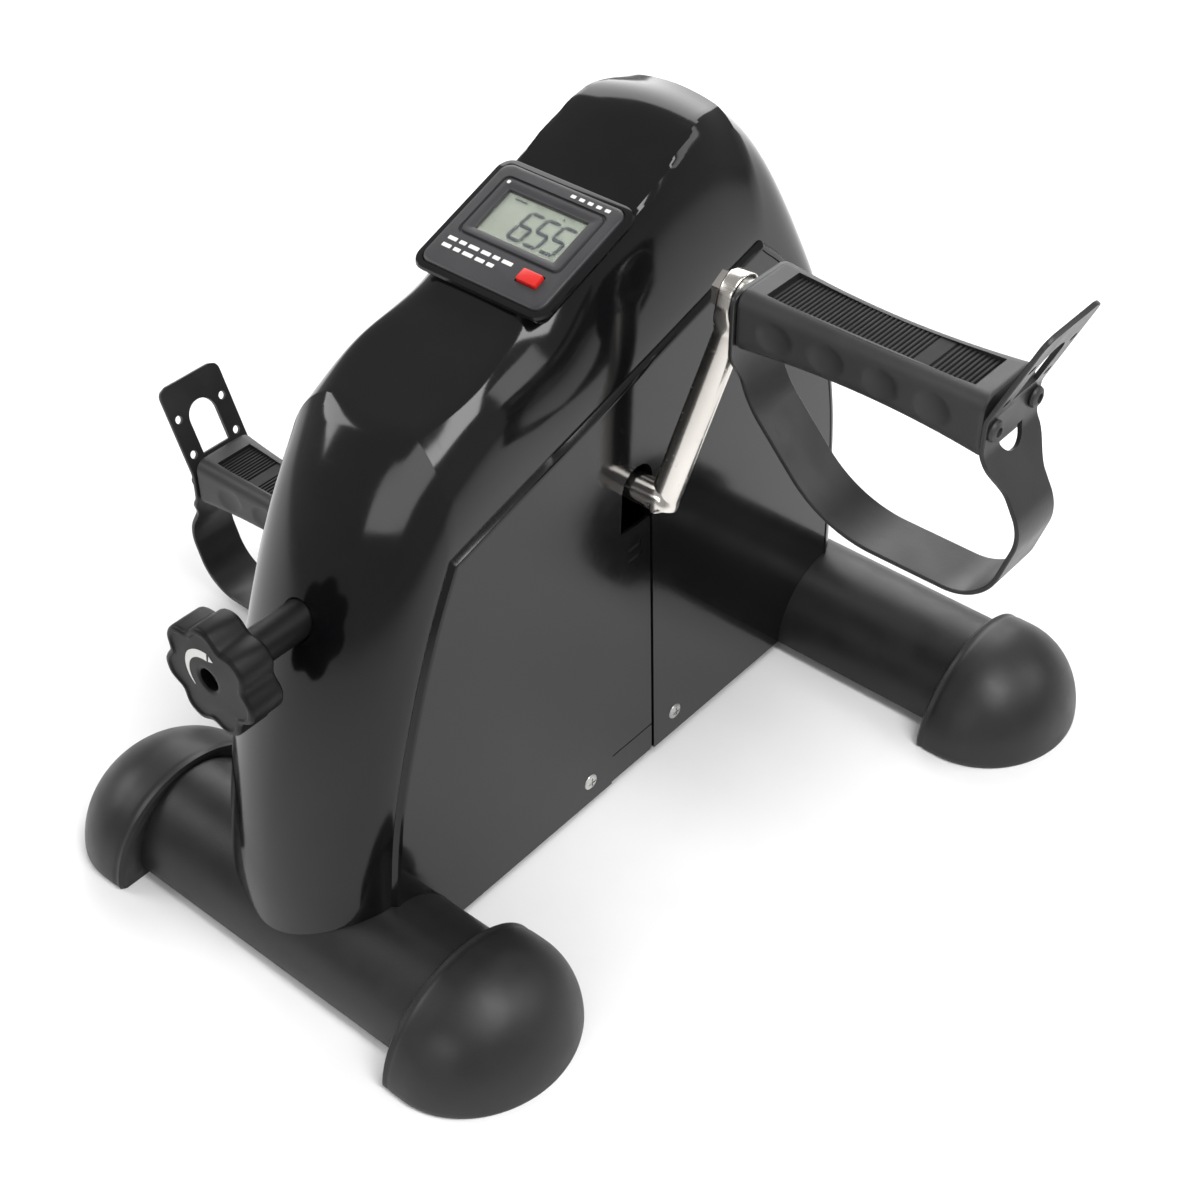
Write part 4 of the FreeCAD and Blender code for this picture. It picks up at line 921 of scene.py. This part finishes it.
def digit(value, x, y, height):
    """Seven-segment digit leaning to the right."""
    lit = {0: "abcdef", 1: "bc", 2: "abged", 3: "abgcd", 4: "fgbc", 5: "afgcd", 6: "afgedc", 7: "abc",
           8: "abcdefg", 9: "abcdfg"}[value]
    w, h = height * 0.46, height / 2
    corner = {"a": ((0, 2), (1, 2)), "b": ((1, 2), (1, 1)), "c": ((1, 1), (1, 0)), "d": ((0, 0), (1, 0)),
              "e": ((0, 1), (0, 0)), "f": ((0, 2), (0, 1)), "g": ((0, 1), (1, 1))}
    strokes = []
    for key in lit:
        (ax, ay), (bx, by) = corner[key]
        start, end = (x + ax * w + ay * h * 0.14, y + ay * h), (x + bx * w + by * h * 0.14, y + by * h)
        strokes.append(bar(start, end, height * 0.062))
    return strokes


ink = []
for value, x in ((6, -6.8), (5, 1.8), (5, 10.2)):
    ink += digit(value, x, -2.8, 14.4)
ink.append(stacked(0.55, 0.55, 0.3, [(INK_LOW, 0), (INK_HIGH, 0)], (9.6, 14.4)))
ink.append(stacked(3.2, 0.5, 0.3, [(INK_LOW, 0), (INK_HIGH, 0)], (-13.0, 14.6)))
v, f = on_meter(merged(ink))
piece("lcd_digits", v, f, INK, "root", None, "lcd_green", 30)

# plain tick marks where the real meter is printed
ticks = []
for y, x, stop in ((-14.6, -27.0, 6.0), (-18.6, -27.0, 0.5)):
    k = 0
    while x < stop:
        length = TICK_LENGTHS[k % 3]
        ticks.append(stacked(length / 2, 0.9, 0.3, TICK_LEVELS, (x + length / 2, y)))
        x += length + TICK_GAP
        k += 1
for k in range(5):
    ticks.append(stacked(1.25, 0.8, 0.3, TICK_LEVELS, (6.5 + 4.4 * k, 25.0)))
ticks.append(stacked(0.8, 0.8, 0.5, [(0.0, 0), (0.2, 0)], (-23.3, 19.6)))
v, f = on_meter(merged(ticks))
piece("meter_marks", v, f, PAINT, "root", None, "meter_grey", 30)

# ------------------------------------------------------------------ stage, light and camera
# metres, watts and degrees; the camera stands where it matches the photo
FLOOR, AMBIENT = 6, 0.42
LENS, SENSOR = 61.16, 36
CAMERA_PLACE, CAMERA_DOWN, CAMERA_ROUND = (0.47566, -0.52899, 0.69141), 40.42, 40.15
# name, place, aim, size, power
LIGHTS = [("overhead", (0.62, -0.10, 1.15), (0, 0, 0.2), (0.45, 0.8), 11),
          ("back_left", (-0.95, 1.25, 1.05), (0, 0, 0.25), (1.7, 1.5), 26),
          ("right_floor", (1.3, 1.0, 1.2), (0.5, 0.5, 0), (1.0, 1.0), 9),
          ("left", (-1.4, -0.7, 1.0), (0, 0, 0.2), (0.7, 0.7), 9),
          ("front", (0.3, -1.6, 0.9), (0, -0.3, 0), (1.0, 0.5), 5)]

floor_mat = material("floor_white", (0.90, 0.90, 0.90), (0.93, 0.93, 0.93), (0.55, 0.65), 400.0, 0.01)
mesh = bpy.data.meshes.new("floor")
mesh.from_pydata([(-FLOOR, -FLOOR, 0), (FLOOR, -FLOOR, 0), (FLOOR, FLOOR, 0), (-FLOOR, FLOOR, 0)], [],
                 [(0, 1, 2, 3)])
floor = bpy.data.objects.new("floor", mesh)
mesh.materials.append(floor_mat)
bpy.context.scene.collection.objects.link(floor)

world = bpy.data.worlds.new("studio")
bpy.context.scene.world = world
world.use_nodes = True
background = world.node_tree.nodes["Background"]
background.inputs["Color"].default_value = (1, 1, 1, 1)
background.inputs["Strength"].default_value = AMBIENT

for name, place, aim, size, power in LIGHTS:
    light = bpy.data.lights.new(name, "AREA")
    light.shape, light.size, light.size_y, light.energy = "RECTANGLE", size[0], size[1], power
    obj = bpy.data.objects.new(name, light)
    obj.location = place
    obj.rotation_euler = (Vector(aim) - Vector(place)).to_track_quat("-Z", "Y").to_euler()
    bpy.context.scene.collection.objects.link(obj)

camera_data = bpy.data.cameras.new("camera")
camera_data.lens, camera_data.sensor_width = LENS, SENSOR
camera = bpy.data.objects.new("camera", camera_data)
camera.location = CAMERA_PLACE
camera.rotation_euler = (math.radians(90 - CAMERA_DOWN), 0, math.radians(CAMERA_ROUND))
bpy.context.scene.collection.objects.link(camera)
bpy.context.scene.camera = camera
bpy.context.scene.view_settings.view_transform = "Standard"
